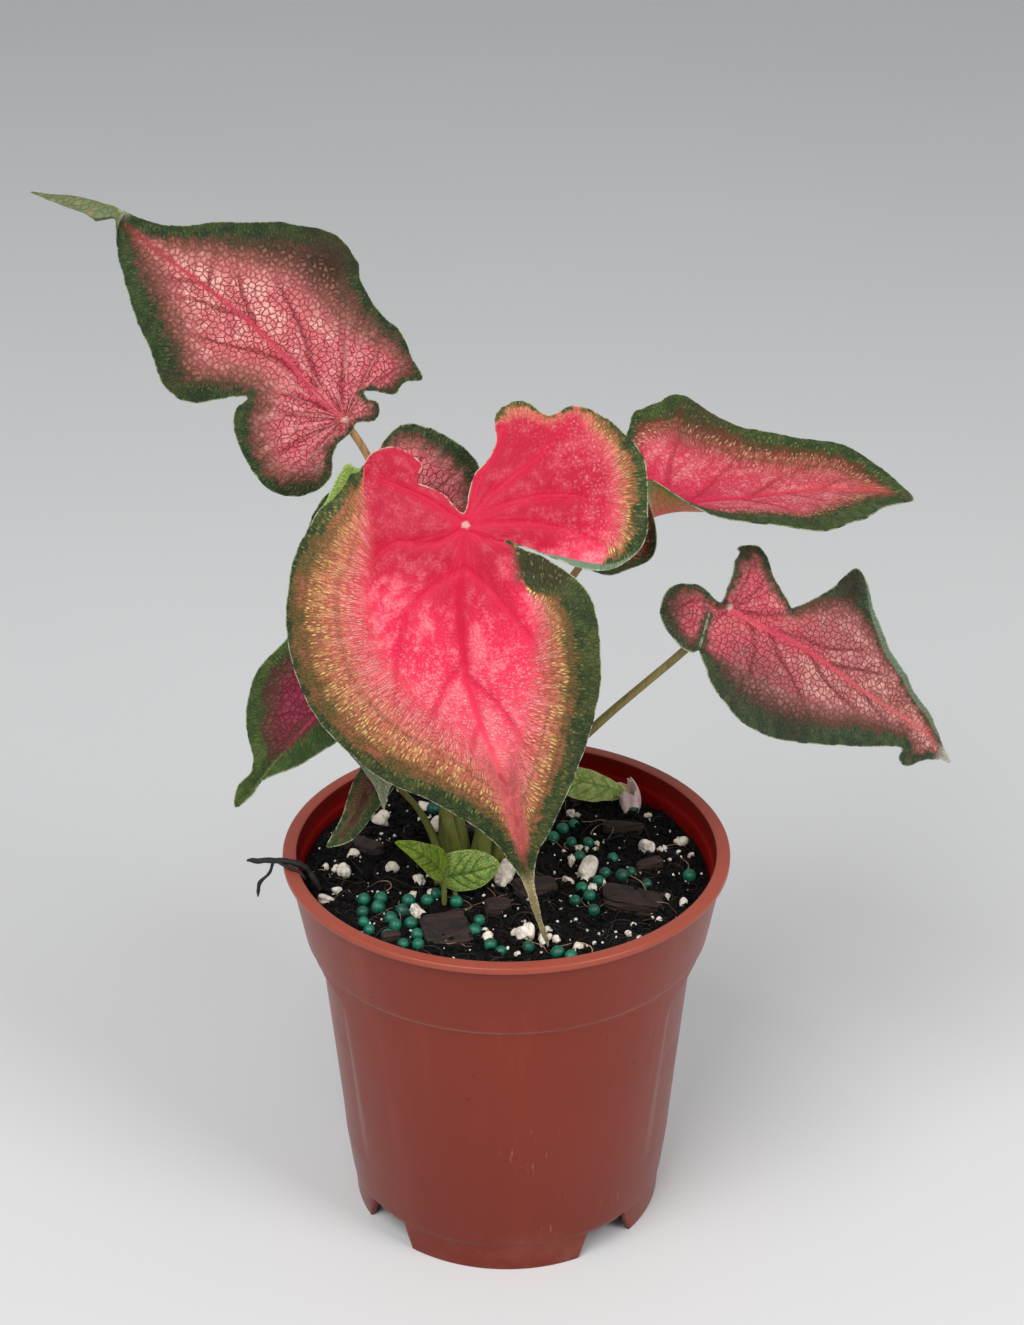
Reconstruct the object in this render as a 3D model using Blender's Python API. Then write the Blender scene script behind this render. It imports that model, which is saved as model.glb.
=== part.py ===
"""A potted fairytale princess caladium: a tuber in potting mix, its heart-shaped leaves on long stems, in a
plain plastic nursery pot. Metres, +Z up. The origin is the middle of the pot's foot, on the surface it
stands on, and -Y is the front."""

import math
import random

import bmesh
import bpy
import numpy as np
from mathutils import Vector, geometry

MM = 0.001
TOUCH = 0.0003

# The pot
POT_HEIGHT = 0.1091
RIM_RADIUS = 0.060
RIM_INNER_RADIUS = 0.0562
LIP_DEPTH = 0.0018
COLLAR_BOTTOM = 0.0854
COLLAR_BOTTOM_RADIUS = 0.0547
FOOT_RADIUS = 0.0428
FOOT_BAND_HEIGHT = 0.0085
WALL = 0.0014
BASE_TOP = 0.0105
POT_SIDES = 48
FLUTE_DEPTH = 0.0024
FLUTE_TOP = 0.081
FLUTE_BOTTOM = 0.022
FLUTE_HALF_ANGLE = math.radians(31)
FLUTE_SHOULDER = math.radians(6)
NOTCH_BEARINGS = (-50, 40, 130, 220)
NOTCH_WIDTH = 0.019
NOTCH_TOP_WIDTH = 0.013
NOTCH_HEIGHT = 0.0075
DRAIN_RADIUS = 0.0035
DRAIN_RING = 0.024

# The soil, and what lies in it
SOIL_LEVEL = 0.1010
SOIL_GAP = 0.00035
TUBER_PLACE = (-0.0105, 0.0025, 0.0855)
TUBER_SIZE = (0.0145, 0.0145, 0.0065)

# The leaves
BLADE_THICKNESS = 0.0007
STEM_SIDES = 8


def clear_scene():
    for obj in list(bpy.data.objects):
        bpy.data.objects.remove(obj, do_unlink=True)


def material(name, colour, roughness):
    made = bpy.data.materials.new(name)
    made.use_nodes = True
    shader = made.node_tree.nodes["Principled BSDF"]
    shader.inputs["Base Color"].default_value = (*colour, 1)
    shader.inputs["Roughness"].default_value = roughness
    shader.inputs["Metallic"].default_value = 0
    made.diffuse_color = (*colour, 1)
    return made


def add_object(name, mesh, look=None, smooth_angle=None):
    """Puts a mesh into the scene as one object, with its faces turned outwards."""
    bm = bmesh.new()
    bm.from_mesh(mesh)
    bmesh.ops.remove_doubles(bm, verts=bm.verts, dist=1e-7)
    bmesh.ops.recalc_face_normals(bm, faces=bm.faces)
    bm.to_mesh(mesh)
    bm.free()
    obj = bpy.data.objects.new(name, mesh)
    bpy.context.scene.collection.objects.link(obj)
    if look:
        mesh.materials.append(look)
    if smooth_angle:
        mesh.shade_smooth()
        mesh.set_sharp_from_angle(angle=math.radians(smooth_angle))
    return obj


def mesh_from(name, points, faces):
    mesh = bpy.data.meshes.new(name)
    mesh.from_pydata([tuple(point) for point in points], [], [tuple(face) for face in faces])
    return mesh


def hide_cutter(obj):
    obj.hide_render = True
    obj.display_type = "WIRE"


def add_boolean(obj, name, operation, cutter=None, collection=None, solver="EXACT"):
    modifier = obj.modifiers.new(name, "BOOLEAN")
    modifier.operation = operation
    modifier.solver = solver
    if collection:
        modifier.operand_type = "COLLECTION"
        modifier.collection = collection
    else:
        modifier.object = cutter
    return modifier


def apply_modifiers(obj):
    """Keeps the evaluated mesh as the object's own."""
    graph = bpy.context.evaluated_depsgraph_get()
    baked = bpy.data.meshes.new_from_object(obj.evaluated_get(graph))
    obj.modifiers.clear()
    obj.data = baked


def smoothstep(low, high, value):
    step = np.clip((np.asarray(value, float) - low) / (high - low), 0, 1)
    return step * step * (3 - 2 * step)


def smooth_path(points, steps):
    """A Catmull-Rom curve through hand-set points, with this many steps in each span."""
    points = np.asarray(points, float)
    ends = np.vstack([2 * points[0] - points[1], points, 2 * points[-1] - points[-2]])
    u = np.linspace(0, 1, steps, endpoint=False)[:, None]
    spans = []
    for a, b, c, d in zip(ends[:-3], ends[1:-2], ends[2:-1], ends[3:]):
        bend = (2 * a - 5 * b + 4 * c - d) * u**2 + (3 * b - a - 3 * c + d) * u**3
        spans.append(0.5 * (2 * b + (c - a) * u + bend))
    return np.vstack(spans + [points[-1:]])


def tube_mesh(name, path, radii, sides=STEM_SIDES):
    """A round tube along a path, with a radius at each point and a flat cap at each end."""
    path = np.asarray(path, float)
    along = np.gradient(path, axis=0)
    along /= np.linalg.norm(along, axis=1)[:, None]
    side = np.cross(along[0], (0.3, 0.9, 0.1))
    points = []
    for centre, direction, radius in zip(path, along, radii):
        side = side - direction * side.dot(direction)
        side /= np.linalg.norm(side)
        other = np.cross(direction, side)
        for i in range(sides):
            turn = math.tau * i / sides
            points.append(centre + radius * (math.cos(turn) * side + math.sin(turn) * other))
    faces = [range(sides), range(len(points) - 1, len(points) - 1 - sides, -1)]
    for ring in range(len(path) - 1):
        for i in range(sides):
            a, b = ring * sides + i, ring * sides + (i + 1) % sides
            faces.append((a, b, b + sides, a + sides))
    return mesh_from(name, points, faces)


def flute_depth(height, bearing):
    """How far the two wide grooves at the pot's sides lie in, at a height and a bearing from the right."""
    off_side = np.abs((np.asarray(bearing) + math.pi / 2) % math.pi - math.pi / 2)
    across = 1 - smoothstep(FLUTE_HALF_ANGLE, FLUTE_HALF_ANGLE + FLUTE_SHOULDER, off_side)
    fade = np.clip((height - FLUTE_BOTTOM) / (FLUTE_TOP - FLUTE_BOTTOM), 0, 1) ** 0.8
    shoulder = 1 - smoothstep(FLUTE_TOP, COLLAR_BOTTOM - 0.001, height)
    return FLUTE_DEPTH * across * fade * shoulder


INNER_WALL = (
    (RIM_INNER_RADIUS, POT_HEIGHT),
    (0.0557, 0.1042),
    (0.0551, 0.1034),
    (COLLAR_BOTTOM_RADIUS - WALL, 0.0860),
    (0.0522, 0.0846),
    (0.0517, FLUTE_TOP),
    (0.0490, 0.060),
    (0.0464, 0.040),
    (0.0440, FLUTE_BOTTOM),
    (0.0424, BASE_TOP),
)
OUTER_WALL = (
    (RIM_RADIUS - 0.0004, POT_HEIGHT),
    (RIM_RADIUS, POT_HEIGHT - 0.0004),
    (RIM_RADIUS, POT_HEIGHT - LIP_DEPTH),
    (0.0586, 0.1068),
    (0.0583, 0.1055),
    (COLLAR_BOTTOM_RADIUS, 0.0862),
    (0.0537, COLLAR_BOTTOM),
    (0.0532, FLUTE_TOP),
    (0.0505, 0.060),
    (0.0479, 0.040),
    (0.0455, FLUTE_BOTTOM),
    (0.0439, FOOT_BAND_HEIGHT + 0.0006),
    (0.0434, FOOT_BAND_HEIGHT),
    (FOOT_RADIUS, 0),
)


def wall_rings(profile, inset=0.0):
    """Rings of points at each radius and height of a profile, with the side grooves worked in."""
    bearing = np.arange(POT_SIDES) * math.tau / POT_SIDES
    rings = []
    for radius, height in profile:
        reach = radius - inset - flute_depth(height, bearing)
        rings.append(np.stack([reach * np.cos(bearing), reach * np.sin(bearing), 0 * bearing + height], 1))
    return rings


def mesh_from_rings(name, rings, first_pole, last_pole):
    """A closed skin of triangles over rings in order, from one pole to the other."""
    count = len(rings[0])
    points = [point for ring in rings for point in ring] + [first_pole, last_pole]
    faces = []
    for ring in range(len(rings) - 1):
        for i in range(count):
            a, b = ring * count + i, ring * count + (i + 1) % count
            faces += [(a, b, b + count), (a, b + count, a + count)]
    last = (len(rings) - 1) * count
    for i in range(count):
        faces.append(((i + 1) % count, i, len(points) - 2))
        faces.append((last + i, last + (i + 1) % count, len(points) - 1))
    return mesh_from(name, points, faces)


def notch_cutter(bearing):
    """A wedge with slanted sides that takes one drainage notch out of the foot band."""
    low, high = NOTCH_WIDTH / 2, NOTCH_TOP_WIDTH / 2
    inside, outside = FOOT_RADIUS - 0.006, FOOT_RADIUS + 0.006
    points = []
    for reach in (inside, outside):
        points += [(reach, -low, -0.002), (reach, low, -0.002), (reach, high, NOTCH_HEIGHT), (reach, -high, NOTCH_HEIGHT)]
    faces = [(3, 2, 1, 0), (4, 5, 6, 7), (0, 1, 5, 4), (1, 2, 6, 5), (2, 3, 7, 6), (3, 0, 4, 7)]
    cutter = add_object(f"notch_cutter_{bearing}", mesh_from("notch", points, faces))
    cutter.rotation_euler = (0, 0, math.radians(bearing - 90))
    hide_cutter(cutter)
    return cutter


def drain_cutter(index):
    """A plain round drainage hole in the base plate: one in the middle and four round it."""
    bm = bmesh.new()
    bmesh.ops.create_cone(bm, cap_ends=True, segments=12, radius1=DRAIN_RADIUS, radius2=DRAIN_RADIUS, depth=0.006)
    mesh = bpy.data.meshes.new("drain")
    bm.to_mesh(mesh)
    bm.free()
    cutter = add_object(f"drain_cutter_{index}", mesh)
    turn = math.radians(40 + 90 * index)
    reach = DRAIN_RING if index else 0
    cutter.location = (reach * math.cos(turn), reach * math.sin(turn), BASE_TOP - 0.001)
    hide_cutter(cutter)
    return cutter


def add_pot():
    """A thin moulded wall: lip, collar, tapered body with two side grooves, foot band and raised base plate."""
    foot_inner = FOOT_RADIUS - WALL
    under = wall_rings([(foot_inner, 0), (foot_inner + 0.0006, BASE_TOP - 0.0018)])
    outer = wall_rings(OUTER_WALL)
    inner = wall_rings(INNER_WALL)
    rings = under[::-1] + outer[::-1] + inner
    pot = add_object(
        "pot",
        mesh_from_rings("pot", rings, (0, 0, BASE_TOP - 0.0018), (0, 0, BASE_TOP)),
        material("terracotta_plastic", (0.42, 0.105, 0.055), 0.38),
        smooth_angle=30,
    )
    cutters = bpy.data.collections.new("pot_cutters")
    bpy.context.scene.collection.children.link(cutters)
    for cutter in [notch_cutter(bearing) for bearing in NOTCH_BEARINGS] + [drain_cutter(i) for i in range(5)]:
        bpy.context.scene.collection.objects.unlink(cutter)
        cutters.objects.link(cutter)
    add_boolean(pot, "notches_and_drains", "DIFFERENCE", collection=cutters)
    return pot


def soil_top(x, y):
    """The height of the soil's uneven surface at a place, in metres: a little higher at the left."""
    x, y = np.asarray(x) / MM, np.asarray(y) / MM
    ripple = 0.55 * np.sin(0.31 * x + 1.0) * np.sin(0.27 * y) + 0.45 * np.sin(0.13 * x - 0.22 * y + 2.0)
    return SOIL_LEVEL + (ripple - 0.016 * x) * MM


# Lumps that show on the soil, as (right, back, width) in millimetres, read from where they lie
PERLITE = (
    (-44, -2, 5), (-47, -12, 4), (-35, 25, 6), (-24, 0, 4.5), (-24, -21, 5), (-31, 1, 3), (-28, -12, 5),
    (-47, -18, 4), (-23, 20, 5), (-18, 14, 5), (-18, 36, 5), (-1, -6, 7), (5, -32, 6), (20, 0, 5.5),
    (15, -5, 4), (39, 13, 6), (47, 17, 4), (43, 12, 4), (39, 30, 3.5), (17, 31, 5), (10, -20, 3.5),
    (40, -23, 4), (15, -27, 3), (-3, 24, 5), (28, 22, 4), (-10, 42, 4), (8, 44, 5), (30, -35, 3.5),
)
FEED_BEADS = (
    (-38, -24), (-35, -19), (-37, -31), (-33, -29), (-32, -14), (-29, -18), (-27, -25), (-26, -19),
    (-25, -13), (-21, -17), (-23, -30), (-14, -17), (-4, -36), (-7, -27), (15, 20), (23, 13), (20, 7),
    (29, 8), (27, -1), (24, -6), (18, -17), (22, -14), (24, -20), (37, -8), (48, -2), (-38, 14),
    (5, 33), (-28, 36), (36, 4),
)
FEED_BEAD_DIAMETER = 0.0032
BARK_CHIPS = ((-17, -29, 13, 8, 20), (35, -14, 15, 9, -12), (-30, 12, 14, 5, -35), (8, -12, 9, 5, 40), (29, 27, 11, 5, 15), (-8, -22, 8, 5, 5), (20, 40, 9, 5, 60))


def lump(name, place, size, stretch, turn, subdivisions=1):
    bm = bmesh.new()
    bmesh.ops.create_icosphere(bm, subdivisions=subdivisions, radius=size / 2)
    for vertex in bm.verts:
        vertex.co = Vector((vertex.co.x * stretch[0], vertex.co.y * stretch[1], vertex.co.z * stretch[2]))
    mesh = bpy.data.meshes.new(name)
    bm.to_mesh(mesh)
    bm.free()
    obj = add_object(name, mesh)
    obj.location = place
    obj.rotation_euler = (0, 0, turn)
    return obj


def chip(name, place, size, turn):
    bm = bmesh.new()
    bmesh.ops.create_cube(bm, size=1)
    for vertex in bm.verts:
        narrow = 0.8 if vertex.co.z > 0 else 1.0
        vertex.co = Vector((vertex.co.x * size[0] * narrow, vertex.co.y * size[1] * narrow, vertex.co.z * size[2]))
    mesh = bpy.data.meshes.new(name)
    bm.to_mesh(mesh)
    bm.free()
    obj = add_object(name, mesh)
    obj.location = place
    obj.rotation_euler = (math.radians(6), math.radians(-5), turn)
    return obj


def add_soil(stem_paths):
    """Potting mix that fills the pot to just below the rim, with its perlite, feed beads and bark grown in."""
    wall = [(radius, height) for radius, height in INNER_WALL if height < 0.1]
    wall[-1] = (wall[-1][0], BASE_TOP + SOIL_GAP)
    wall_top = np.interp(SOIL_LEVEL, (0.0860, 0.1034), (COLLAR_BOTTOM_RADIUS - WALL, 0.0551))
    sides = wall_rings(wall, SOIL_GAP)
    bearing = np.arange(POT_SIDES) * math.tau / POT_SIDES
    reach = wall_top - SOIL_GAP - 0.0002
    rings = []
    for part in (0.16, 0.34, 0.54, 0.72, 0.88, 1.0):
        x, y = part * reach * np.cos(bearing), part * reach * np.sin(bearing)
        rings.append(np.stack([x, y, soil_top(x, y) - (0.0006 if part == 1.0 else 0)], 1))
    soil = add_object(
        "soil",
        mesh_from_rings("soil", rings + sides, (0, 0, float(soil_top(0, 0))), (0, 0, BASE_TOP + SOIL_GAP)),
        material("dark_potting_mix", (0.012, 0.009, 0.008), 0.95),
    )
    draw = random.Random(7)
    lumps = bpy.data.collections.new("soil_lumps")
    bpy.context.scene.collection.children.link(lumps)
    made = []
    for i, (x, y, width) in enumerate(PERLITE):
        place = (x * MM, y * MM, float(soil_top(x * MM, y * MM)) + 0.15 * width * MM)
        stretch = (draw.uniform(0.85, 1.15), draw.uniform(0.7, 0.95), draw.uniform(0.6, 0.85))
        made.append(lump(f"perlite_{i}", place, width * MM, stretch, draw.uniform(0, math.tau)))
    for i, (x, y) in enumerate(FEED_BEADS):
        place = (x * MM, y * MM, float(soil_top(x * MM, y * MM)) + 0.2 * FEED_BEAD_DIAMETER)
        made.append(lump(f"bead_{i}", place, FEED_BEAD_DIAMETER, (1, 1, 1), draw.uniform(0, math.tau)))
    for i, (x, y, length, width, turn) in enumerate(BARK_CHIPS):
        place = (x * MM, y * MM, float(soil_top(x * MM, y * MM)))
        made.append(chip(f"bark_{i}", place, (length * MM, width * MM, 4.5 * MM), math.radians(turn)))
    for obj in made:
        bpy.context.scene.collection.objects.unlink(obj)
        lumps.objects.link(obj)
    add_boolean(soil, "lumps", "UNION", collection=lumps)
    bpy.context.view_layer.update()
    apply_modifiers(soil)
    for obj in made:
        bpy.data.objects.remove(obj, do_unlink=True)
    bpy.data.collections.remove(lumps)

    holes = bpy.data.collections.new("soil_holes")
    bpy.context.scene.collection.children.link(holes)
    cutters = [add_tuber("tuber_space", SOIL_GAP)]
    for name, path, radii in stem_paths:
        end = max(i for i, point in enumerate(path) if point[2] < SOIL_LEVEL + 0.006) + 2
        below = path[0] + 0.0022 * (path[0] - path[1]) / np.linalg.norm(path[0] - path[1])
        wide = np.append(radii[0], radii[:end]) + SOIL_GAP
        hole = tube_mesh(name + "_hole", np.vstack([below, path[:end]]), wide)
        cutters.append(add_object(name + "_hole", hole))
    for cutter in cutters:
        bpy.context.scene.collection.objects.unlink(cutter)
        holes.objects.link(cutter)
        hide_cutter(cutter)
    add_boolean(soil, "stem_holes", "DIFFERENCE", collection=holes)
    return soil


def tuber_top(x, y, grow=0.0):
    """The height of the tuber's upper side at a place."""
    spread = (x - TUBER_PLACE[0]) ** 2 / (TUBER_SIZE[0] + grow) ** 2
    spread += (y - TUBER_PLACE[1]) ** 2 / (TUBER_SIZE[1] + grow) ** 2
    return TUBER_PLACE[2] + (TUBER_SIZE[2] + grow) * math.sqrt(max(0.0, 1 - spread))


def add_tuber(name="tuber", grow=0.0):
    """The flattened, faintly ribbed tuber that all the stems rise from, buried in the mix."""
    count = 20
    turn = np.arange(count) * math.tau / count
    rings = []
    for tilt in np.radians((-68, -45, -22, 0, 22, 45, 68)):
        reach = math.cos(tilt) * (1 - 0.025 * np.sin(5 * turn) ** 2)
        x = TUBER_PLACE[0] + (TUBER_SIZE[0] + grow) * reach * np.cos(turn)
        y = TUBER_PLACE[1] + (TUBER_SIZE[1] + grow) * reach * np.sin(turn)
        rings.append(np.stack([x, y, 0 * turn + TUBER_PLACE[2] + (TUBER_SIZE[2] + grow) * math.sin(tilt)], 1))
    low = (TUBER_PLACE[0], TUBER_PLACE[1], TUBER_PLACE[2] - TUBER_SIZE[2] - grow)
    high = (TUBER_PLACE[0], TUBER_PLACE[1], TUBER_PLACE[2] + TUBER_SIZE[2] + grow)
    mesh = mesh_from_rings(name, rings, low, high)
    if grow:
        return add_object(name, mesh)
    return add_object(name, mesh, material("tuber_skin", (0.16, 0.09, 0.05), 0.8), smooth_angle=40)


# Each leaf, in millimetres. join and tip are where its stem joins and where its blade ends, and face is the
# way its upper side looks. The midrib runs from join to tip, swings sideways by bow and rises by arch, and
# the basal lobes behind the join fall back by lobe. Each half slopes up from the midrib by its fold and
# curves by cup. A swell moves the blade near a place: (across, along, reach, shift across, shift along,
# rise). The outline is (across, along), from the bottom of the sinus round one lobe to the tip and back
# round the other. The stem's route lists points from the soil to just short of the join.
LEAVES = {
    "leaf_front": {
        "join": (-9.8, -27, 214.5), "tip": (6.2, -45, 124.4), "face": (-0.04, -0.93, 0.36),
        "arch": 8, "bow": -4, "lobe": 0.006, "cup": -0.004, "folds": (0, 0), "swells": (),
        "outline": (
            (0, -3), (-4, -8), (-10, -12), (-8, -15), (-14, -20), (-20, -19), (-25, -17), (-31, -13),
            (-37, -6), (-43, 2), (-46, 10), (-48, 19), (-46, 37), (-37, 52), (-30, 59), (-21, 65), (-9, 76),
            (-3.5, 88), (-2, 95), (-1, 104), (0.8, 113), (2, 112), (1, 103), (0.8, 93), (3, 85), (7, 79),
            (17, 63), (25, 46), (27, 36), (27, 22), (23, 15.5), (18, 11), (11.5, 6.5), (17, 8), (27, 14),
            (33, 15.5), (41, 13), (44, 5), (45, -7), (41, -14), (36, -19), (30, -22), (24, -21), (19, -25),
            (14, -25), (11, -23), (10.5, -18), (8, -14), (4, -11), (2, -7),
        ),
        "stem": ((-8, -3.5, 101), (-4, -7, 130), (0.5, -11, 165), (-3, -17, 195), (-8, -21.5, 209)),
        "stem_radii": (2.4, 1.1), "look": ("crimson_blade", (0.62, 0.04, 0.09)),
    },
    "leaf_back_left": {
        "join": (-41.2, 20, 223.5), "tip": (-98.9, 42, 269.8), "face": (0.12, -0.78, 0.60),
        "arch": 5, "bow": -2, "lobe": 0.012, "cup": -0.002, "folds": (0, 0), "swells": (),
        "outline": (
            (0, -3), (-3, -5.5), (-7, -6), (-10, -4), (-9, -1.5), (-13, -3.5), (-19, -4), (-22.5, -7),
            (-24.5, -2), (-27, 4), (-27, 11), (-29, 20), (-33, 25), (-34, 33), (-31, 40), (-17, 56), (-6, 67),
            (-2, 75), (-1, 81), (0, 86), (4, 93), (7.7, 99.3), (9.2, 98.9), (7.5, 92), (4, 83), (3, 76), (8, 70),
            (16, 58), (23, 44), (26, 38), (25, 32), (20, 27), (13.5, 21.5), (18, 21.5), (22, 18.5), (25, 12),
            (27, 3), (24, -3), (18, -7), (13, -7), (9, -4), (5, -3),
        ),
        "stem": ((-12.5, 8.5, 101), (-19, 13, 140), (-28.2, 18.5, 183), (-35, 21, 211)),
        "stem_radii": (2.2, 1.0), "look": ("rose_net_blade", (0.45, 0.07, 0.09)),
    },
    "leaf_behind": {
        "join": (-28.7, -1, 204.6), "tip": (-32.5, -8, 124.2), "face": (-0.10, -0.93, 0.30),
        "arch": 5, "bow": 0, "lobe": 0.006, "cup": -0.003, "folds": (0, 0), "swells": (),
        "outline": (
            (0, -3), (-3, -6), (-9, -8.5), (-14, -7.5), (-18.5, -3), (-21.5, 4), (-23.5, 12), (-23.5, 22), (-21, 35),
            (-15, 49), (-9, 62), (-4, 71), (-1, 78), (0.5, 82), (1.5, 78), (3, 72), (8, 61), (16, 46),
            (22, 30), (24.5, 15), (24, 4), (22.5, -6), (20.5, -12.5), (17.5, -16.5), (12.5, -19.5), (6.5, -21.5),
            (1, -22), (-3, -19.5), (-5, -15), (-3, -9),
        ),
        "stem": ((-15.5, 3, 101), (-17, 6, 130), (-23, 9, 165), (-27.5, 6, 195)),
        "stem_radii": (2.3, 1.0), "look": ("rose_net_blade", (0.45, 0.07, 0.09)),
    },
    "leaf_right": {
        "join": (27.2, 14, 196.6), "tip": (106.1, 24, 199.3), "face": (-0.05, -0.10, 0.99),
        "arch": 4, "bow": 7, "lobe": 0.004, "cup": 0.0, "folds": (0.35, 0.12),
        "swells": ((-18, 0, 9, 0, 3.5, -8), (-17, 11, 7, 3, -3, 17), (-21, 29, 12, 0, 0, 4)),
        "outline": (
            (0, -3), (-4, -7), (-10, -9), (-14, -8), (-17.5, -4), (-19, 1), (-19, 6), (-18, 10.5), (-17.5, 15),
            (-18, 20), (-20, 28), (-22.5, 38), (-23.5, 46), (-23.5, 52), (-19, 59), (-10, 67.5), (-3, 75.5),
            (0.5, 80), (8, 76.5), (17, 69.5), (22, 60), (26, 45), (31, 36), (36, 29), (41, 24), (40.5, 20),
            (35, 13), (33, 9.5), (27, 5), (24, -2), (18, -8), (11, -10), (4, -7),
        ),
        "stem": ((-6.5, 7.5, 101), (-3, 10, 130), (6, 12, 160), (17.6, 13, 183)),
        "stem_radii": (2.2, 1.0), "look": ("crimson_blade", (0.62, 0.04, 0.09)),
    },
    "leaf_lower_right": {
        "join": (57.0, -3, 181.0), "tip": (118.2, 9, 129.6), "face": (0.10, -0.74, 0.66),
        "arch": 4, "bow": -2, "lobe": 0.004, "cup": -0.001, "folds": (0, 0), "swells": (),
        "outline": (
            (0, -3), (0.5, -6), (1, -10), (-1, -14), (-4, -16.5), (-8, -16.5), (-12, -14), (-14.5, -10),
            (-14.5, -4), (-10, -3.5), (-5, -5), (-8, -1.5), (-14, 0), (-21, 7), (-24, 14), (-24, 24), (-20, 35),
            (-15, 45), (-11, 53), (-7, 64), (-7.5, 68), (-4, 71), (-1, 77), (0.4, 82), (2, 78), (6, 71),
            (13, 54), (20, 40), (27, 32), (28.5, 28), (24, 25.5), (19, 23), (13, 19), (9, 15), (13.5, 8),
            (18.5, 0), (15.5, -4.5), (12, -4.5), (7, -3),
        ),
        "stem": ((-4, 2, 101), (3.6, 0, 123), (24.3, -4, 148.6), (46.5, -5, 170.9)),
        "stem_radii": (2.0, 1.05), "look": ("rose_net_blade", (0.45, 0.07, 0.09)),
    },
    "leaf_lower_left": {
        "join": (-36.1, -20, 173.1), "tip": (-68.1, -30, 137.8), "face": (-0.25, -0.88, 0.40),
        "arch": 2, "bow": -2, "lobe": 0.004, "cup": 0.0, "folds": (0.5, 0.1), "swells": (),
        "outline": (
            (0, -2.5), (-5, -7), (-11, -8), (-16, -4), (-18, 2), (-18.5, 9), (-19, 15), (-18, 21), (-15, 27),
            (-9.5, 33), (-5, 37), (-2.8, 43), (-0.5, 49), (0.5, 44), (1, 38.5), (5, 30), (7.5, 23), (9.5, 15),
            (10, 6), (9, -2), (6, -6), (3, -6),
        ),
        "stem": ((-13.5, -2.5, 101), (-15, -9, 120), (-20, -14.5, 142), (-29, -17.5, 162)),
        "stem_radii": (2.0, 0.9), "look": ("rose_net_blade", (0.45, 0.07, 0.09)),
    },
    "leaf_small_left": {
        "join": (-30.8, -18, 143.9), "tip": (-45.7, -30, 126.7), "face": (0.10, -0.85, 0.50),
        "arch": 1, "bow": 0, "lobe": 0.004, "cup": 0.0, "folds": (0.1, 0.1), "swells": (),
        "outline": (
            (0, -2), (-3, -4.5), (-5.5, -3), (-6, 2), (-5, 8), (-3.2, 14), (-1.2, 21), (0, 26), (2, 24),
            (4, 17), (5, 10), (5.5, 3), (4.5, -3), (2, -4.5),
        ),
        "stem": ((-17.5, -7, 101), (-17.8, -8, 113), (-22.8, -12.5, 127), (-27.6, -15.5, 135.5)),
        "stem_radii": (1.5, 0.8), "look": ("green_rose_blade", (0.20, 0.13, 0.07)),
    },
    "seedling_left": {
        "join": (-17.3, -17.0, 111.6), "tip": (-28.8, -19.4, 121.4), "face": (-0.1, -0.5, 0.86),
        "arch": 1.5, "bow": 1.5, "lobe": 0.01, "cup": 0.0, "folds": (0.5, 0.5), "swells": (),
        "outline": (
            (0, -1), (-2.2, -1.6), (-4, 0.5), (-4.2, 4), (-3, 8), (-2, 12), (0, 15.4), (1.6, 12), (2.8, 8),
            (4, 4), (4, 0.5), (2.2, -1.6),
        ),
        "stem": ((-16.4, -17.0, 101), (-16.6, -16.8, 107)),
        "stem_radii": (0.8, 0.65), "look": ("spring_green_blade", (0.16, 0.34, 0.05)),
    },
    "seedling_right": {
        "join": (-15.2, -14.0, 107.5), "tip": (-2.3, -11.5, 110.0), "face": (0.15, -0.93, 0.35),
        "arch": 1.5, "bow": 0, "lobe": 0.01, "cup": -0.02, "folds": (0, 0), "swells": (),
        "outline": (
            (0, -1), (2, -3), (4.5, -2.5), (6.2, 1), (6.3, 5), (5.2, 9), (3, 12), (0, 13.8), (-2.6, 11.6),
            (-4.4, 8), (-4.6, 4), (-3.8, 0.5), (-2, -1.8),
        ),
        "stem": ((-13.4, -13.4, 101), (-14.5, -11.9, 104.6)),
        "stem_radii": (0.8, 0.65), "look": ("spring_green_blade", (0.16, 0.34, 0.05)),
    },
    "shoot_leaf": {
        "join": (29.6, 36.6, 107.0), "tip": (6.5, 41, 110.5), "face": (0.0, -0.80, 0.60),
        "arch": 2, "bow": 0, "lobe": 0.01, "cup": -0.035, "folds": (0, 0), "swells": (),
        "outline": (
            (0, -1), (-1.6, -0.6), (-2.6, 3), (-3, 8), (-2.8, 15), (-1.6, 22), (0, 24.3), (3.4, 21), (6, 15),
            (6.2, 8), (4.6, 3), (2.6, -0.6),
        ),
        "stem": (), "stem_radii": (), "look": ("pale_green_blade", (0.38, 0.50, 0.22)),
    },
}
SHOOT_SHEATH = ((34.5, 34.2, 94), (34.6, 34.3, 101), (34.2, 35.0, 105), (32.6, 35.8, 107.2))
SHOOT_SHEATH_RADII = (2.6, 3.0, 2.9, 2.2)
TWIG = (
    (-69, -8, 108.9), (-65, -9, 109.7), (-60.5, -10.3, 110.3), (-56.5, -11.4, 110.5), (-53.6, -12.1, 109.6),
    (-50.8, -12.8, 106), (-49.6, -13, 103.2),
)
TWIG_SIDE = ((-62.4, -9.8, 110.2), (-64.6, -9.9, 108.2), (-64.8, -10, 104.8), (-66.8, -10.2, 101.6))


def leaf_axes(leaf):
    """The join, and the blade's across, along and face directions, with the midrib's length."""
    join, tip, face = (np.array(leaf[key], float) for key in ("join", "tip", "face"))
    along = tip - join
    length = np.linalg.norm(along)
    along /= length
    face -= face.dot(along) * along
    face /= np.linalg.norm(face)
    return join, np.cross(face, along), along, face, length


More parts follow.
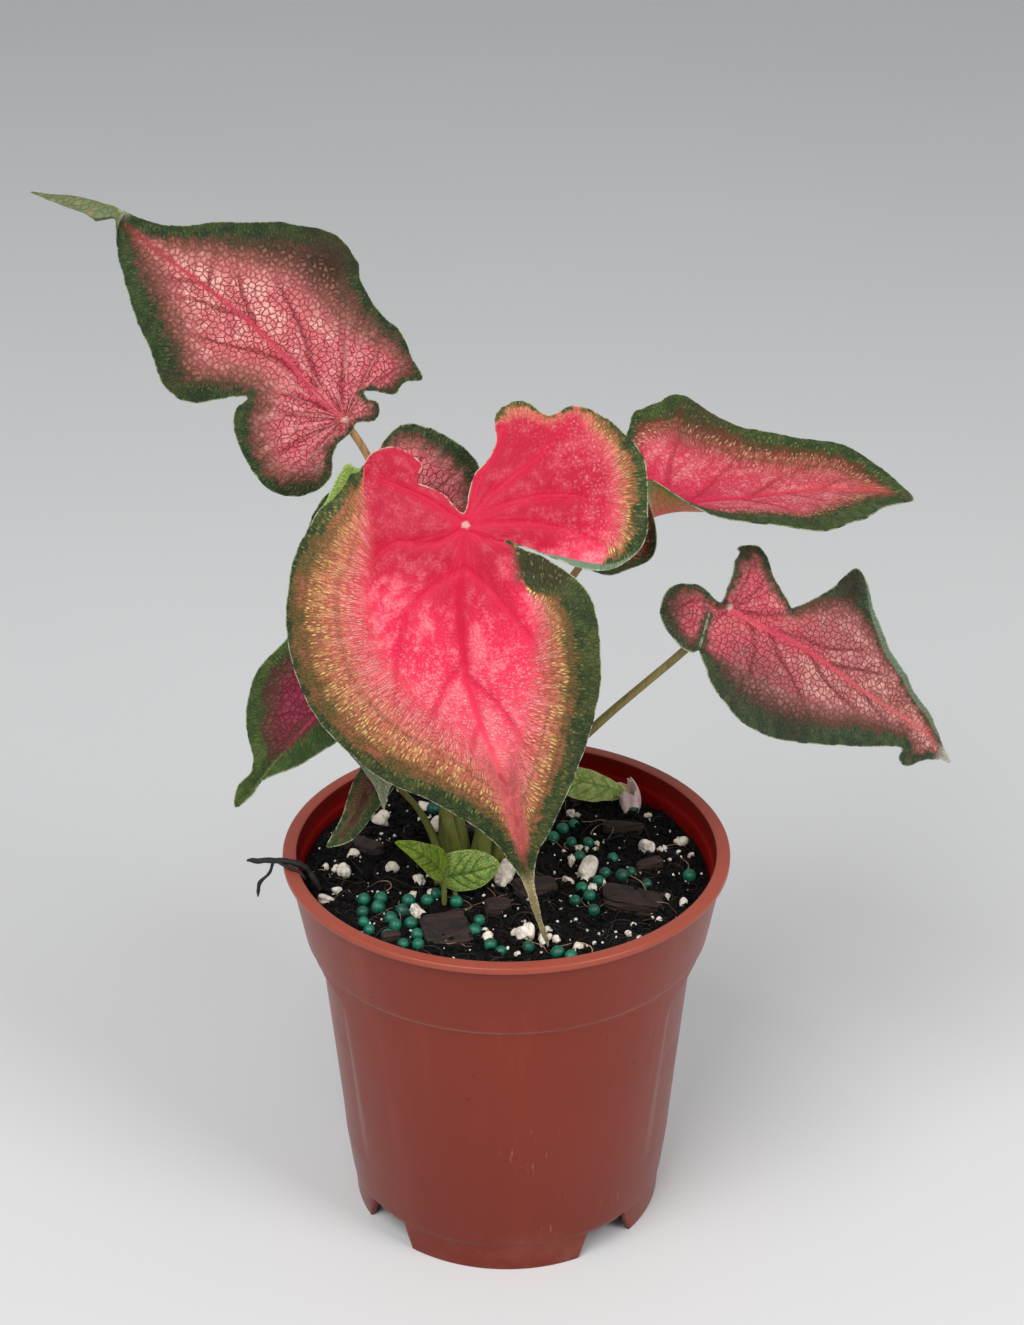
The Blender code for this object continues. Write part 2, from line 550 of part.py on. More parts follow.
def leaf_rise(leaf, across, along):
    """How far the blade stands out from its flat plane: arch, lobes, folds and cup added up."""
    length = leaf_axes(leaf)[4]
    part = np.clip(along / length, 0, 1)
    off = across - leaf["bow"] * 4 * part * (1 - part)
    slope = 4 * leaf["arch"] / length
    rise = np.where(along > 0, slope * along * (1 - along / length), slope * along - leaf["lobe"] * along**2)
    fold = np.where(off > 0, leaf["folds"][0], leaf["folds"][1])
    return rise + leaf["cup"] * off**2 + fold * (np.sqrt(off**2 + 9) - 3)


def leaf_points(leaf, across, along):
    """Places on the blade's middle surface in metres, for distances across and along it in millimetres."""
    join, across_way, along_way, face, _ = leaf_axes(leaf)
    across, along = np.asarray(across, float), np.asarray(along, float)
    spot = np.stack([across, along, leaf_rise(leaf, across, along)], -1)
    for x, y, reach, *shift in leaf["swells"]:
        near = np.exp(-((across - x) ** 2 + (along - y) ** 2) / reach**2)
        spot = spot + near[..., None] * np.array(shift, float)
    return (join + spot @ np.array([across_way, along_way, face])) * MM


def leaf_normals(leaf, across, along, step=0.2):
    """The way the upper side looks at each place, from the two slopes of the surface."""
    by_across = leaf_points(leaf, across + step, along) - leaf_points(leaf, across - step, along)
    by_along = leaf_points(leaf, across, along + step) - leaf_points(leaf, across, along - step)
    normal = np.cross(by_along, by_across)
    return normal / np.linalg.norm(normal, axis=1)[:, None]


def inside_outline(outline, points):
    """Which points lie inside a closed outline, by counting the edges to their right."""
    x, y = points[:, 0], points[:, 1]
    inside = np.zeros(len(points), bool)
    for (ax, ay), (bx, by) in zip(outline, np.roll(outline, -1, axis=0)):
        crosses = (ay > y) != (by > y)
        with np.errstate(divide="ignore", invalid="ignore"):
            inside ^= crosses & (x < (bx - ax) * (y - ay) / (by - ay) + ax)
    return inside


def add_blade(name, leaf, spacing):
    """A thin blade: its outline filled with triangles, set on the leaf's curved surface and given a thickness."""
    outline = np.array(leaf["outline"], float)
    grid = [
        (x + (spacing / 2 if row % 2 else 0), y)
        for row, y in enumerate(np.arange(-32, 110, spacing * 0.866))
        for x in np.arange(-56, 56, spacing)
    ]
    grid = np.array(grid)
    grid = grid[inside_outline(outline, grid)]
    edge_gap = np.linalg.norm(grid[:, None] - outline[None], axis=2).min(axis=1) if len(grid) else np.zeros(0)
    grid = grid[edge_gap > spacing * 0.42] if len(grid) else grid
    flat = [Vector(point) for point in np.vstack([outline, grid])] if len(grid) else [Vector(p) for p in outline]
    count = len(outline)
    edges = [(i, (i + 1) % count) for i in range(count)]
    flat, _, faces, *_ = geometry.delaunay_2d_cdt(flat, edges, [list(range(count))], 1, 1e-5)
    flat = np.array([tuple(point) for point in flat])
    middle = leaf_points(leaf, flat[:, 0], flat[:, 1])
    normals = leaf_normals(leaf, flat[:, 0], flat[:, 1])
    half = BLADE_THICKNESS / 2
    points = np.vstack([middle + normals * half, middle - normals * half])
    total = len(flat)
    solid = [tuple(face) for face in faces] + [tuple(total + i for i in reversed(face)) for face in faces]
    directed = {(face[i], face[(i + 1) % 3]) for face in faces for i in range(3)}
    for a, b in directed:
        if (b, a) not in directed:
            solid += [(b, a, total + a), (b, total + a, total + b)]
    colour_name, colour = leaf["look"]
    look = bpy.data.materials.get(colour_name) or material(colour_name, colour, 0.45)
    return add_object(name, mesh_from(name, points, solid), look, smooth_angle=50)


def stem_path(leaf):
    """The stem's route in metres, from the tuber, or from a little way into the soil, to under the blade."""
    join = leaf_axes(leaf)[0]
    face = leaf_normals(leaf, np.zeros(1), np.zeros(1))[0]
    route = [np.array(point, float) for point in leaf["stem"]]
    foot_radius, top_radius = leaf["stem_radii"]
    toward = route[-1] - join
    toward /= np.linalg.norm(toward)
    lean = math.sqrt(max(0.0, 1 - toward.dot(face) ** 2))
    end = join - face * (BLADE_THICKNESS / 2 / MM + TOUCH / MM + 0.05 + top_radius * lean)
    start = route[0].copy()
    if foot_radius > 1.2:
        start[:2] = np.array(TUBER_PLACE[:2]) / MM + 0.86 * (start[:2] - np.array(TUBER_PLACE[:2]) / MM)
        start[2] = tuber_top(start[0] * MM, start[1] * MM) / MM + 1.0
    else:
        start[2] = 97.5
    path = smooth_path([start] + route + [end], 3) * MM
    part = np.linspace(0, 1, len(path))
    radii = (foot_radius + (top_radius - foot_radius) * smoothstep(0, 0.75, part)) * MM
    return path, radii


clear_scene()
add_pot()
add_tuber()
stem_look = material("olive_stem", (0.22, 0.22, 0.06), 0.45)
sheath_look = material("pale_sheath", (0.62, 0.50, 0.45), 0.5)
twig_look = material("black_twig", (0.012, 0.010, 0.009), 0.8)

stem_paths = []
for name, leaf in LEAVES.items():
    length = leaf_axes(leaf)[4]
    add_blade(name, leaf, 4.5 if length < 40 or leaf["swells"] else 9.0)
    if leaf["stem"]:
        path, radii = stem_path(leaf)
        stem_name = name.replace("leaf", "stem") if "leaf" in name else name + "_stem"
        add_object(stem_name, tube_mesh(stem_name, path, radii), stem_look, smooth_angle=50)
        stem_paths.append((stem_name, path, radii))

sheath_path = smooth_path(SHOOT_SHEATH, 3) * MM
sheath_radii = smooth_path([(radius,) for radius in SHOOT_SHEATH_RADII], 3)[:, 0] * MM
add_object("shoot_sheath", tube_mesh("shoot_sheath", sheath_path, sheath_radii, 10), sheath_look, smooth_angle=50)
stem_paths.append(("shoot_sheath", sheath_path, sheath_radii))

twig = add_object("twig", tube_mesh("twig", smooth_path(TWIG, 2) * MM, [0.0008] * (2 * len(TWIG) - 1), 6), twig_look)
side_path = smooth_path(TWIG_SIDE, 2) * MM
side = add_object("twig_side", tube_mesh("twig_side", side_path, np.linspace(0.0005, 0.0004, len(side_path)), 6))
add_boolean(twig, "side_root", "UNION", cutter=side)
bpy.context.view_layer.update()
apply_modifiers(twig)
bpy.data.objects.remove(side, do_unlink=True)

add_soil(stem_paths)
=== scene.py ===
import math

import bmesh
import bpy
import numpy as np
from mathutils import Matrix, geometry


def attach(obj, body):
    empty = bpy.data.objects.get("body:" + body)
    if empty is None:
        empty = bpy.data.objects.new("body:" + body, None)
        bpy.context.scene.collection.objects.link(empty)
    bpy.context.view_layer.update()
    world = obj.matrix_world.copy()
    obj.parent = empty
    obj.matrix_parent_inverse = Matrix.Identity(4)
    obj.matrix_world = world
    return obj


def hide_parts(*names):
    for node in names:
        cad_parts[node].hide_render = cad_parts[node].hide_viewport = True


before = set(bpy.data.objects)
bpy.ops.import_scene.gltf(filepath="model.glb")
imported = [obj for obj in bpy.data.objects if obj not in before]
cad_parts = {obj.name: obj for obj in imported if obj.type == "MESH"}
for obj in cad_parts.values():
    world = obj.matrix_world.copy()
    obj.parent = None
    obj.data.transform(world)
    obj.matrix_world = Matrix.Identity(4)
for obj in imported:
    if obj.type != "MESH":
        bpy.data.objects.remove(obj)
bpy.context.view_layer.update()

# The pot. A thin nursery pot moulded in one shot from terracotta-coloured plastic: a thick lip, a straight
# collar, a tapered body with one wide flat groove at each side, and a foot ring with four notches that let
# water out from under the raised base, which has five drainage holes. Sizes are in millimetres.
MM = 0.001
POT_HEIGHT, FOOT_RADIUS, FOOT_BAND = 109.1, 42.8, 8.5
BASE_TOP, BASE_UNDER = 10.5, 8.7
DRAIN_RADIUS, DRAINS_OUT = 3.5, 24
FIRST_NOTCH = 40
NOTCH_DEPTH = 7.5

# The wall's section as a closed loop: how far out each corner is, how high, and how much it is rounded.
POT_WALL = (
    (42.0, BASE_UNDER, 0.0), (41.4, 0.0, 0.3), (FOOT_RADIUS, 0.0, 0.3), (43.4, FOOT_BAND, 0.5), (43.9, 9.1, 0.5),
    (45.5, 22.0, 0.0), (47.9, 40.0, 0.0), (50.5, 60.0, 0.0), (53.2, 81.0, 2.0), (53.7, 85.2, 0.6), (54.7, 86.2, 0.45),
    (58.3, 105.5, 0.5), (58.55, 106.9, 0.35), (60.0, 107.3, 0.3), (60.0, POT_HEIGHT, 0.7), (56.2, POT_HEIGHT, 0.8),
    (55.7, 104.2, 0.4), (55.1, 103.4, 0.5), (53.3, 86.0, 0.5), (52.2, 84.6, 0.5), (51.7, 81.0, 1.0),
    (49.0, 60.0, 0.0),
    (46.4, 40.0, 0.0), (44.0, 22.0, 0.0), (42.4, BASE_TOP, 0.4),
)


def smoothstep(low, high, value):
    """0 up to low and 1 from high on, with a run between them that is level at both ends."""
    step = np.clip((np.asarray(value, float) - low) / (high - low), 0, 1)
    return step * step * (3 - 2 * step)


def paint(red, green, blue):
    """A colour from its 0 to 255 values on a screen, as the share of light that it gives back."""
    share = np.array([red, green, blue]) / 255
    return tuple(float(c) for c in np.where(share <= 0.04045, share / 12.92, ((share + 0.055) / 1.055) ** 2.4))


class Channel:
    """One output of a material's node. Sums and products of channels add the Math nodes that work them out."""

    def __init__(self, finish, node, output=0):
        self.finish, self.node, self.socket = finish, node, node.outputs[output]

    def output(self, which):
        return Channel(self.finish, self.node, which)

    def maths(self, operation, *values):
        return self.finish.add("ShaderNodeMath", {"operation": operation}, dict(enumerate(values)))

    def __add__(self, other):
        return self.maths("ADD", self, other)

    def __sub__(self, other):
        return self.maths("SUBTRACT", self, other)

    def __rsub__(self, other):
        return self.maths("SUBTRACT", other, self)

    def __mul__(self, other):
        return self.maths("MULTIPLY", self, other)

    def __truediv__(self, other):
        return self.maths("DIVIDE", self, other)

    def __gt__(self, other):
        return self.maths("GREATER_THAN", self, other)

    def __abs__(self):
        return self.maths("ABSOLUTE", self)

    __radd__ = __add__
    __rmul__ = __mul__


class Finish:
    """A material being put together from nodes. A flat one draws its patterns on a blade's own flat map."""

    def __init__(self, name, flat=False):
        self.dimensions = "2D" if flat else "3D"
        self.material = bpy.data.materials.new(name)
        self.material.use_nodes = True
        self.tree = self.material.node_tree
        self.tree.nodes.clear()

    def add(self, kind, settings=None, sockets=None):
        """Any node: its type, then its settings, then the values or links of its sockets."""
        node = self.tree.nodes.new(kind)
        for key, value in (settings or {}).items():
            setattr(node, key, value)
        for key, value in (sockets or {}).items():
            socket = node.inputs[key]
            if isinstance(value, Channel):
                self.tree.links.new(value.socket, socket)
            elif socket.type == "RGBA":
                socket.default_value = (*value[:3], 1)
            else:
                socket.default_value = value
        return Channel(self, node) if len(node.outputs) else None

    def place(self):
        return self.add("ShaderNodeTexCoord").output("Object")

    def apart(self, place):
        """The three coordinates of a place, each as a channel."""
        split = self.add("ShaderNodeSeparateXYZ", {}, {0: place})
        return split.output(0), split.output(1), split.output(2)

    def leaf_map(self, which):
        """A blade's own flat map: "leaf" is across and along, "flow" is along the rim and in from it."""
        return self.add("ShaderNodeUVMap", {"uv_map": which})

    def marks(self, *keys):
        """The numbers that each point of a blade carries, such as its distance to the margin."""
        return [self.add("ShaderNodeAttribute", {"attribute_name": key}).output("Fac") for key in keys]

    def length(self, place):
        return self.add("ShaderNodeVectorMath", {"operation": "LENGTH"}, {0: place}).output(1)

    def stretched(self, place, x, y, z):
        """A place scaled by an amount for each axis, so that a pattern over it is drawn out along the smallest."""
        return self.add("ShaderNodeMapping", {}, {"Vector": place, "Scale": (x, y, z)})

    def clouds(self, place, scale, detail=3.0, roughness=0.55):
        """Soft random patches, from 0 to 1."""
        return self.add(
            "ShaderNodeTexNoise",
            {"noise_dimensions": self.dimensions},
            {"Vector": place, "Scale": scale, "Detail": detail, "Roughness": roughness},
        )

    def cells(self, place, scale, feature="F1"):
        """Random cells: the distance to each one's middle or edge, and a random tone for each as its Color."""
        return self.add(
            "ShaderNodeTexVoronoi",
            {"feature": feature, "voronoi_dimensions": self.dimensions},
            {"Vector": place, "Scale": scale},
        )

    def edges(self, place, scale, start, end):
        """A net of thin lines along the edges of random cells."""
        return self.fade(self.cells(place, scale, "DISTANCE_TO_EDGE"), start, end)

    def shifted(self, place, by, amount):
        """A place moved by a random colour, so that a pattern drawn over it bends."""
        push = self.add("ShaderNodeVectorMath", {"operation": "SCALE"}, {0: by, "Scale": amount})
        return self.add("ShaderNodeVectorMath", {"operation": "ADD"}, {0: place, 1: push})

    def fade(self, value, start, end):
        """0 where the value is at start and 1 where it is at end, with a soft run between them."""
        return self.add(
            "ShaderNodeMapRange",
            {"interpolation_type": "SMOOTHSTEP"},
            {"Value": value, "From Min": start, "From Max": end},
        )

    def blend(self, factor, first, second):
        """The first colour where the factor is 0 and the second where it is 1."""
        return self.add("ShaderNodeMix", {"data_type": "RGBA"}, {0: factor, 6: first, 7: second}).output(2)

    def coats(self, colour, *layers):
        """Thin coats laid over a colour in order: each is how much of it there is, and its own colour."""
        for cover, coat in layers:
            colour = self.blend(cover, colour, coat)
        return colour

    def bump(self, height, depth_mm, strength):
        """Fine relief that only the light shows, this deep where the height is 1."""
        return self.add("ShaderNodeBump", {}, {"Height": height, "Distance": depth_mm * MM, "Strength": strength})

    def surface(self, sockets, through=None):
        """Ends the material in its shader. With a share, some of the light passes through, as through a leaf."""
        shader = self.add("ShaderNodeBsdfPrincipled", {}, sockets)
        if through:
            share, colour = through
            glow = self.add("ShaderNodeBsdfTranslucent", {}, {"Color": colour})
            shader = self.add("ShaderNodeMixShader", {}, {0: share, 1: shader, 2: glow})
        self.add("ShaderNodeOutputMaterial", {}, {"Surface": shader})
        return self.material


def put_mesh(name, points, faces, look, slot_name, stands_for=(), sharp=40, looks=(), which_look=None):
    """Makes one finished piece from points in millimetres and blocks of faces, parents it to the root body and
    hides the solids that it stands for. Edges turned by more than the sharp angle stay crisp, and each face
    takes the look that which_look numbers."""
    mesh = bpy.data.meshes.new(name)
    mesh.from_pydata((np.asarray(points) * MM).tolist(), [], [face for block in faces for face in block.tolist()])
    for material in (look, *looks):
        mesh.materials.append(material)
    if which_look is not None:
        mesh.polygons.foreach_set("material_index", which_look)
    if sharp:
        mesh.shade_smooth()
        mesh.set_sharp_from_angle(angle=math.radians(sharp))
    piece = bpy.data.objects.new(name, mesh)
    bpy.context.scene.collection.objects.link(piece)
    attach(piece, "root")
    if stands_for:
        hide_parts(*stands_for)
    return piece


def joined(*parts):
    """Several meshes as one, each given as points and blocks of faces: the points are stacked and the faces
    counted on."""
    starts = np.cumsum([0] + [len(points) for points, _ in parts])
    faces = [block + start for (_, blocks), start in zip(parts, starts) for block in blocks]
    return np.vstack([points for points, _ in parts]), faces


def ring_faces(rings, sides, first=0, closed_loop=False):
    """Four-cornered faces over rings of points in order. A closed loop joins the last ring to the first."""
    ring = np.arange(rings if closed_loop else rings - 1)[:, None]
    side = np.arange(sides)[None]
    a, b = ring * sides + side, ring * sides + (side + 1) % sides
    up = (ring + 1) % rings * sides - ring * sides
    return first + np.stack([a, b, b + up, a + up], -1).reshape(-1, 4)


def rounded_loop(corners, longest):
    """A closed profile: each corner (radius out, height, rounding) is cut short and bridged by a quarter bend,
    a curve that leaves and meets the two straight runs in line, and long runs are split up."""
    at = np.array(corners)[:, :2]
    rows = []
    for i, (_, _, rounding) in enumerate(corners):
        before, after = at[i - 1] - at[i], at[(i + 1) % len(at)] - at[i]
        start = at[i] + before / np.linalg.norm(before) * rounding
        end = at[i] + after / np.linalg.norm(after) * rounding
        u = np.linspace(0, 1, 5)[:, None]
        rows.append((1 - u) ** 2 * start + 2 * u * (1 - u) * at[i] + u**2 * end if rounding else at[i][None])
        gap = at[(i + 1) % len(at)] - rows[-1][-1]
        parts = int(np.linalg.norm(gap) // longest)
        next_rounding = corners[(i + 1) % len(at)][2]
        reach = 1 - next_rounding / max(np.linalg.norm(gap), 1e-6)
        if parts > 1:
            rows.append(rows[-1][-1] + gap * reach * np.linspace(0, 1, parts + 1)[1:-1, None])
    return np.vstack(rows)


def groove_depth(height, bearing):
    """How deep the wide groove at each side lies: flat across 62 degrees with soft shoulders, deepest at the
    top, where it ends in a low arch under the collar, and running out towards the foot."""
    off = np.degrees(np.abs((bearing + math.pi / 2) % math.pi - math.pi / 2))
    across = 1 - smoothstep(30, 36.5, off)
    fade = np.clip((height - 22) / 59, 0, 1) ** 0.8
    arch_top = 82.2 - 5.5 * (off / 34) ** 4
    return 2.4 * across * fade * (1 - smoothstep(arch_top - 1.2, arch_top + 1.5, height))


def notch_height(bearing):
    """The height of the foot's lower edge: 7.5 mm up in the middle 13 mm of each notch, with slanted sides."""
    off = (np.degrees(bearing) - FIRST_NOTCH + 45) % 90 - 45
    return NOTCH_DEPTH * np.clip((9.5 - np.abs(np.radians(off)) * FOOT_RADIUS) / 3.0, 0, 1)


# The wall's points stand one degree apart, and also at the corners of the four notches.
notch_edges = np.radians([
    FIRST_NOTCH + 90 * notch + side * off for notch in range(4) for side in (-1, 1) for off in (12.72, 8.70)
])
pot_bearing = np.sort(np.concatenate([np.arange(0, 360, 1.0) * math.pi / 180, notch_edges % math.tau]))
pot_bearing = pot_bearing[np.append(np.diff(pot_bearing) > 0.002, True)]
wall_rows = rounded_loop(POT_WALL, 1.6)
out, up = wall_rows[:, :1], wall_rows[:, 1:]
notch = notch_height(pot_bearing)[None] + 0.12 * np.sin(41 * pot_bearing) * (notch_height(pot_bearing) > 0.4)
lifted = np.where((up < FOOT_BAND) & (out < 44), notch + up * (FOOT_BAND - notch) / FOOT_BAND, up + 0 * notch)
radius = out - groove_depth(up, pot_bearing[None])
# As moulded, the wall is a twentieth of a millimetre out of round, more so towards the top.
radius = radius - 0.05 * (1 + np.sin(3 * pot_bearing + 1.1)) * smoothstep(20, 100, up)
wall_points = np.stack([radius * np.cos(pot_bearing), radius * np.sin(pot_bearing), lifted], -1).reshape(-1, 3)
wall_faces = ring_faces(len(wall_rows), len(pot_bearing), closed_loop=True)


def base_plate():
    """The raised base: a disc with one hole in the middle and four round it, drawn flat as rings of points,
    filled with triangles between the rings, and given two sides and the walls between them."""

    def ring(x, y, size, count):
        """Points evenly round a circle."""
        turn = np.arange(count) * math.tau / count
        return np.stack([x + size * np.cos(turn), y + size * np.sin(turn)], -1)

    disc_sides, drain_sides = 96, 24
    ways = [math.radians(FIRST_NOTCH + 90 * notch) for notch in range(4)]
    centres = [(0.0, 0.0)] + [(DRAINS_OUT * math.cos(way), DRAINS_OUT * math.sin(way)) for way in ways]
    rings = [ring(0, 0, 42.9, disc_sides)] + [ring(x, y, DRAIN_RADIUS, drain_sides) for x, y in centres]
    flat = np.vstack(rings)
    starts = np.cumsum([0] + [len(r) for r in rings])
    loops = [list(range(starts[i], starts[i + 1])) for i in range(len(rings))]
    edges = [(a, b) for loop in loops for a, b in zip(loop, loop[1:] + loop[:1])]
    _, _, faces, *_ = geometry.delaunay_2d_cdt([tuple(p) for p in flat], edges, [], 0, 1e-6)
    faces = np.array([f for f in faces if len(f) == 3])
    middle = flat[faces].mean(1)
    from_holes = np.linalg.norm(middle[:, None] - np.array(centres)[None], axis=2)
    faces = faces[(from_holes > DRAIN_RADIUS - 0.02).all(1)]
    turn = np.cross(flat[faces[:, 1]] - flat[faces[:, 0]], flat[faces[:, 2]] - flat[faces[:, 0]])
    faces = np.where((turn > 0)[:, None], faces, faces[:, ::-1])
    total = len(flat)
    rim = np.array(edges)
    rim[disc_sides:] = rim[disc_sides:, ::-1]
    sides = np.stack([rim[:, 0] + total, rim[:, 1] + total, rim[:, 1], rim[:, 0]], -1)
    high, low = np.full((total, 1), BASE_TOP), np.full((total, 1), BASE_UNDER)
    return np.vstack([np.hstack([flat, high]), np.hstack([flat, low])]), [faces, faces[:, ::-1] + total, sides]


def terracotta_plastic():
    """Semi-gloss brown-orange plastic with faint flow marks, fine upright scuffs, specks of soil, a dusty foot,
    painted shade towards the foot and painted highlights on the lip's top and the ledge.
    """
    look = Finish("terracotta_plastic_moulded")
    fade, clouds = look.fade, look.clouds
    place = look.place()
    _, _, z = look.apart(place)
    out_from_middle = look.length(look.stretched(place, 1, 1, 0))
    patches = clouds(place, 26, 4)
    streaks = clouds(look.stretched(place, 90, 90, 9), 1.0, 3)
    # A painted highlight: a thin pale line along the ledge at the foot of the collar.
    ledge_highlight = fade(abs(z - 0.0857), 0.0006, 0.0002) * fade(out_from_middle, 0.0530, 0.0534)
    scuffs = fade(clouds(look.stretched(place, 1500, 1500, 42), 1.0, 2), 0.63, 0.72)
    scuffs = scuffs * fade(clouds(place, 34, 2), 0.56, 0.66)
    dust = clouds(place, 70, 5, 0.7)
    specks = fade(look.cells(place, 150).output("Distance"), 0.085, 0.05) * fade(clouds(place, 60, 2), 0.5, 0.6)
    colour = look.coats(
        look.blend(patches, paint(111, 32, 15), paint(124, 42, 22)),
        (fade(streaks, 0.52, 0.78) * 0.30, paint(152, 68, 50)),
        # Painted shade: the lower body is painted darker towards the foot.
        (fade(z, 0.060, 0.0) * 0.6, paint(104, 30, 16)),
        # Painted highlight: the top of the lip is painted lighter where the light falls on it.
        (fade(z, 0.1066, 0.1076) * 0.55, paint(168, 84, 66)),
        (ledge_highlight * fade(patches, 0.35, 0.6) * 0.4, paint(196, 116, 94)),
        (scuffs * 0.35, paint(186, 116, 96)),
        (fade(z, 0.020, 0.0) * fade(dust, 0.45, 0.7) * 0.22, paint(150, 98, 80)),
        (specks * 0.8, paint(30, 18, 15)),
    )
    rough = 0.26 + patches * 0.10 + scuffs * 0.2 + fade(dust, 0.5, 0.8) * 0.10
    relief = look.bump(clouds(place, 55, 3) * 0.8 + clouds(place, 700, 2) * 0.05 - scuffs * 0.1, 0.5, 0.35)
    return look.surface({"Base Color": colour, "Roughness": rough, "Normal": relief, "Specular IOR Level": 0.28})


def inside_plastic_shade_and_glow():
    """The same plastic inside the pot, where little light falls on it: matt with damp dust, its deep red painted
    shade, darker on the lip's top, brighter with a painted glow of light through the thin wall.
    """
    look = Finish("terracotta_plastic_inside")
    place = look.place()
    _, _, z = look.apart(place)
    dust = look.clouds(place, 90, 5, 0.7)
    # Painted light and shade: a brighter red glow down the wall where light comes through the thin plastic, and
    # darker on the top of the inner lip.
    colour = look.blend(look.fade(z, 0.1040, 0.1088), paint(130, 13, 7), paint(102, 19, 12))
    colour = look.blend(look.fade(dust, 0.55, 0.75) * look.fade(z, 0.106, 0.101) * 0.7, colour, paint(34, 12, 9))
    return look.surface({"Base Color": colour, "Roughness": 0.5 + dust * 0.2, "Specular IOR Level": 0.08})


# The loop of the wall goes up outside and down inside: from the lip's inner edge on it takes the inside look.
lip_row = int(np.flatnonzero((up[:, 0] > 100) & (out[:, 0] < 56.4))[0])
pot_points, pot_blocks = joined((wall_points, [wall_faces]), base_plate())
inner_faces = np.zeros(sum(len(block) for block in pot_blocks), np.int32)
inner_faces[lip_row * len(pot_bearing) : len(wall_faces)] = 1
put_mesh(
    "pot_shell", pot_points, pot_blocks, terracotta_plastic(), "terracotta_plastic", ("pot",), sharp=35,
    looks=(inside_plastic_shade_and_glow(),), which_look=inner_faces,
)

# The potting mix. Black, damp and fibrous, filled to just under the rim and level but rough: a bed of fine
# crumbs and loose larger ones, whose surface rises and falls by a millimetre or two.
SOIL_LEVEL = 101.0
SOIL_REACH = 54.3
SOIL_SIDES = 400
SOIL_UNDER = BASE_TOP + 0.4
CRUMBS = 3000


def grain(points, size, seed):
    """Smooth random heights from -1 to 1: a random number at each corner of a lattice of this spacing, with an
    eased blend between the corners."""
    spot = np.asarray(points, float) / size
    cell = np.floor(spot).astype(np.int64)
    part = spot - cell
    part = part * part * (3 - 2 * part)
    keys = np.array((374761393, 668265263, 1103515245)[: cell.shape[-1]], np.int64)
    total = np.zeros(cell.shape[:-1])
    for corner in np.ndindex(*(2,) * cell.shape[-1]):
        mixed = ((cell + np.array(corner)) * keys).sum(-1) + seed * 7919
        mixed = (mixed ^ (mixed >> 13)) * 1274126177 & 0xFFFFFFFF
        mixed = (mixed ^ (mixed >> 16)) & 0xFFFF
        total += mixed / 65535 * np.prod(np.where(np.array(corner) == 1, part, 1 - part), -1)
    return total * 2 - 1


def bed(x, y):
    """The broad height of the soil in millimetres: two crossing ripples, a little higher at the left."""
    ripple = 0.55 * np.sin(0.31 * x + 1.0) * np.sin(0.27 * y) + 0.45 * np.sin(0.13 * x - 0.22 * y + 2.0)
    return SOIL_LEVEL + ripple - 0.016 * x


def soil_height(x, y):
    """The broad bed with clods about 5 mm across, crumbs about 2 mm across and grit on top of each other."""
    spot = np.stack([x, y], -1)
    clods = 0.9 * grain(spot, 5.1, 3) + 0.55 * np.abs(grain(spot, 2.1, 5)) + 0.28 * grain(spot, 0.95, 8)
    return bed(x, y) + clods * smoothstep(SOIL_REACH + 1, SOIL_REACH - 4, np.hypot(x, y)) - 0.25


def pole_faces(ring_start, sides, pole, outward):
    """A fan of triangles from one ring to a single point."""
    side = np.arange(sides)
    a, b = ring_start + side, ring_start + (side + 1) % sides
    corners = (a, b) if outward else (b, a)
    return np.stack([*corners, np.full(sides, pole)], -1)


# The top's rings from the middle outwards, then a few rings down the wall and under the mix.
soil_bearing = np.arange(SOIL_SIDES) * math.tau / SOIL_SIDES
soil_out = np.linspace(0.6, SOIL_REACH, 92)[:, None]
soil_x, soil_y = soil_out * np.cos(soil_bearing), soil_out * np.sin(soil_bearing)
soil_rings = [np.stack([soil_x, soil_y, soil_height(soil_x, soil_y)], -1)]
for out_mm, up_mm in ((52.8, 86.2), (51.4, 81.0), (48.7, 60.0), (46.1, 40.0), (43.7, 22.0), (42.0, SOIL_UNDER)):
    reach = out_mm - groove_depth(up_mm, soil_bearing)
    ring = np.stack([reach * np.cos(soil_bearing), reach * np.sin(soil_bearing), 0 * reach + up_mm], -1)
    soil_rings.append(ring[None])
soil_grid = np.concatenate(soil_rings)
soil_middle = [[0, 0, float(soil_height(np.zeros(1), np.zeros(1))[0])], [0, 0, SOIL_UNDER]]
soil_points = np.vstack([soil_grid.reshape(-1, 3), soil_middle])
last_ring = (len(soil_grid) - 1) * SOIL_SIDES
soil_faces = [
    ring_faces(len(soil_grid), SOIL_SIDES)[:, ::-1],
    pole_faces(0, SOIL_SIDES, len(soil_points) - 2, True),
    pole_faces(last_ring, SOIL_SIDES, len(soil_points) - 1, False),
]


def dark_mix():
    """Damp black peat: a fine grain, browner patches and a few grey bits."""
    look = Finish("damp_potting_mix")
    place = look.place()
    fine, patches = look.clouds(place, 900, 5, 0.7), look.clouds(place, 130, 3)
    grey_bits = look.fade(look.cells(place, 620).output("Distance"), 0.16, 0.08) * look.fade(patches, 0.40, 0.6)
    colour = look.coats(
        look.blend(look.fade(fine, 0.35, 0.8), paint(4, 4, 4), paint(21, 18, 17)),
        (look.fade(patches, 0.55, 0.8) * 0.7, paint(34, 22, 16)),
        (grey_bits * 0.35, paint(112, 104, 96)),
    )
    relief = look.bump(fine * 0.7 + look.cells(place, 480) * 0.5, 0.7, 0.9)
    rough = 0.62 + fine * 0.35
    return look.surface({"Base Color": colour, "Roughness": rough, "Normal": relief, "Specular IOR Level": 0.14})


soil_look = dark_mix()
put_mesh("soil_bed", soil_points, soil_faces, soil_look, "potting_mix", ("soil",), sharp=0)


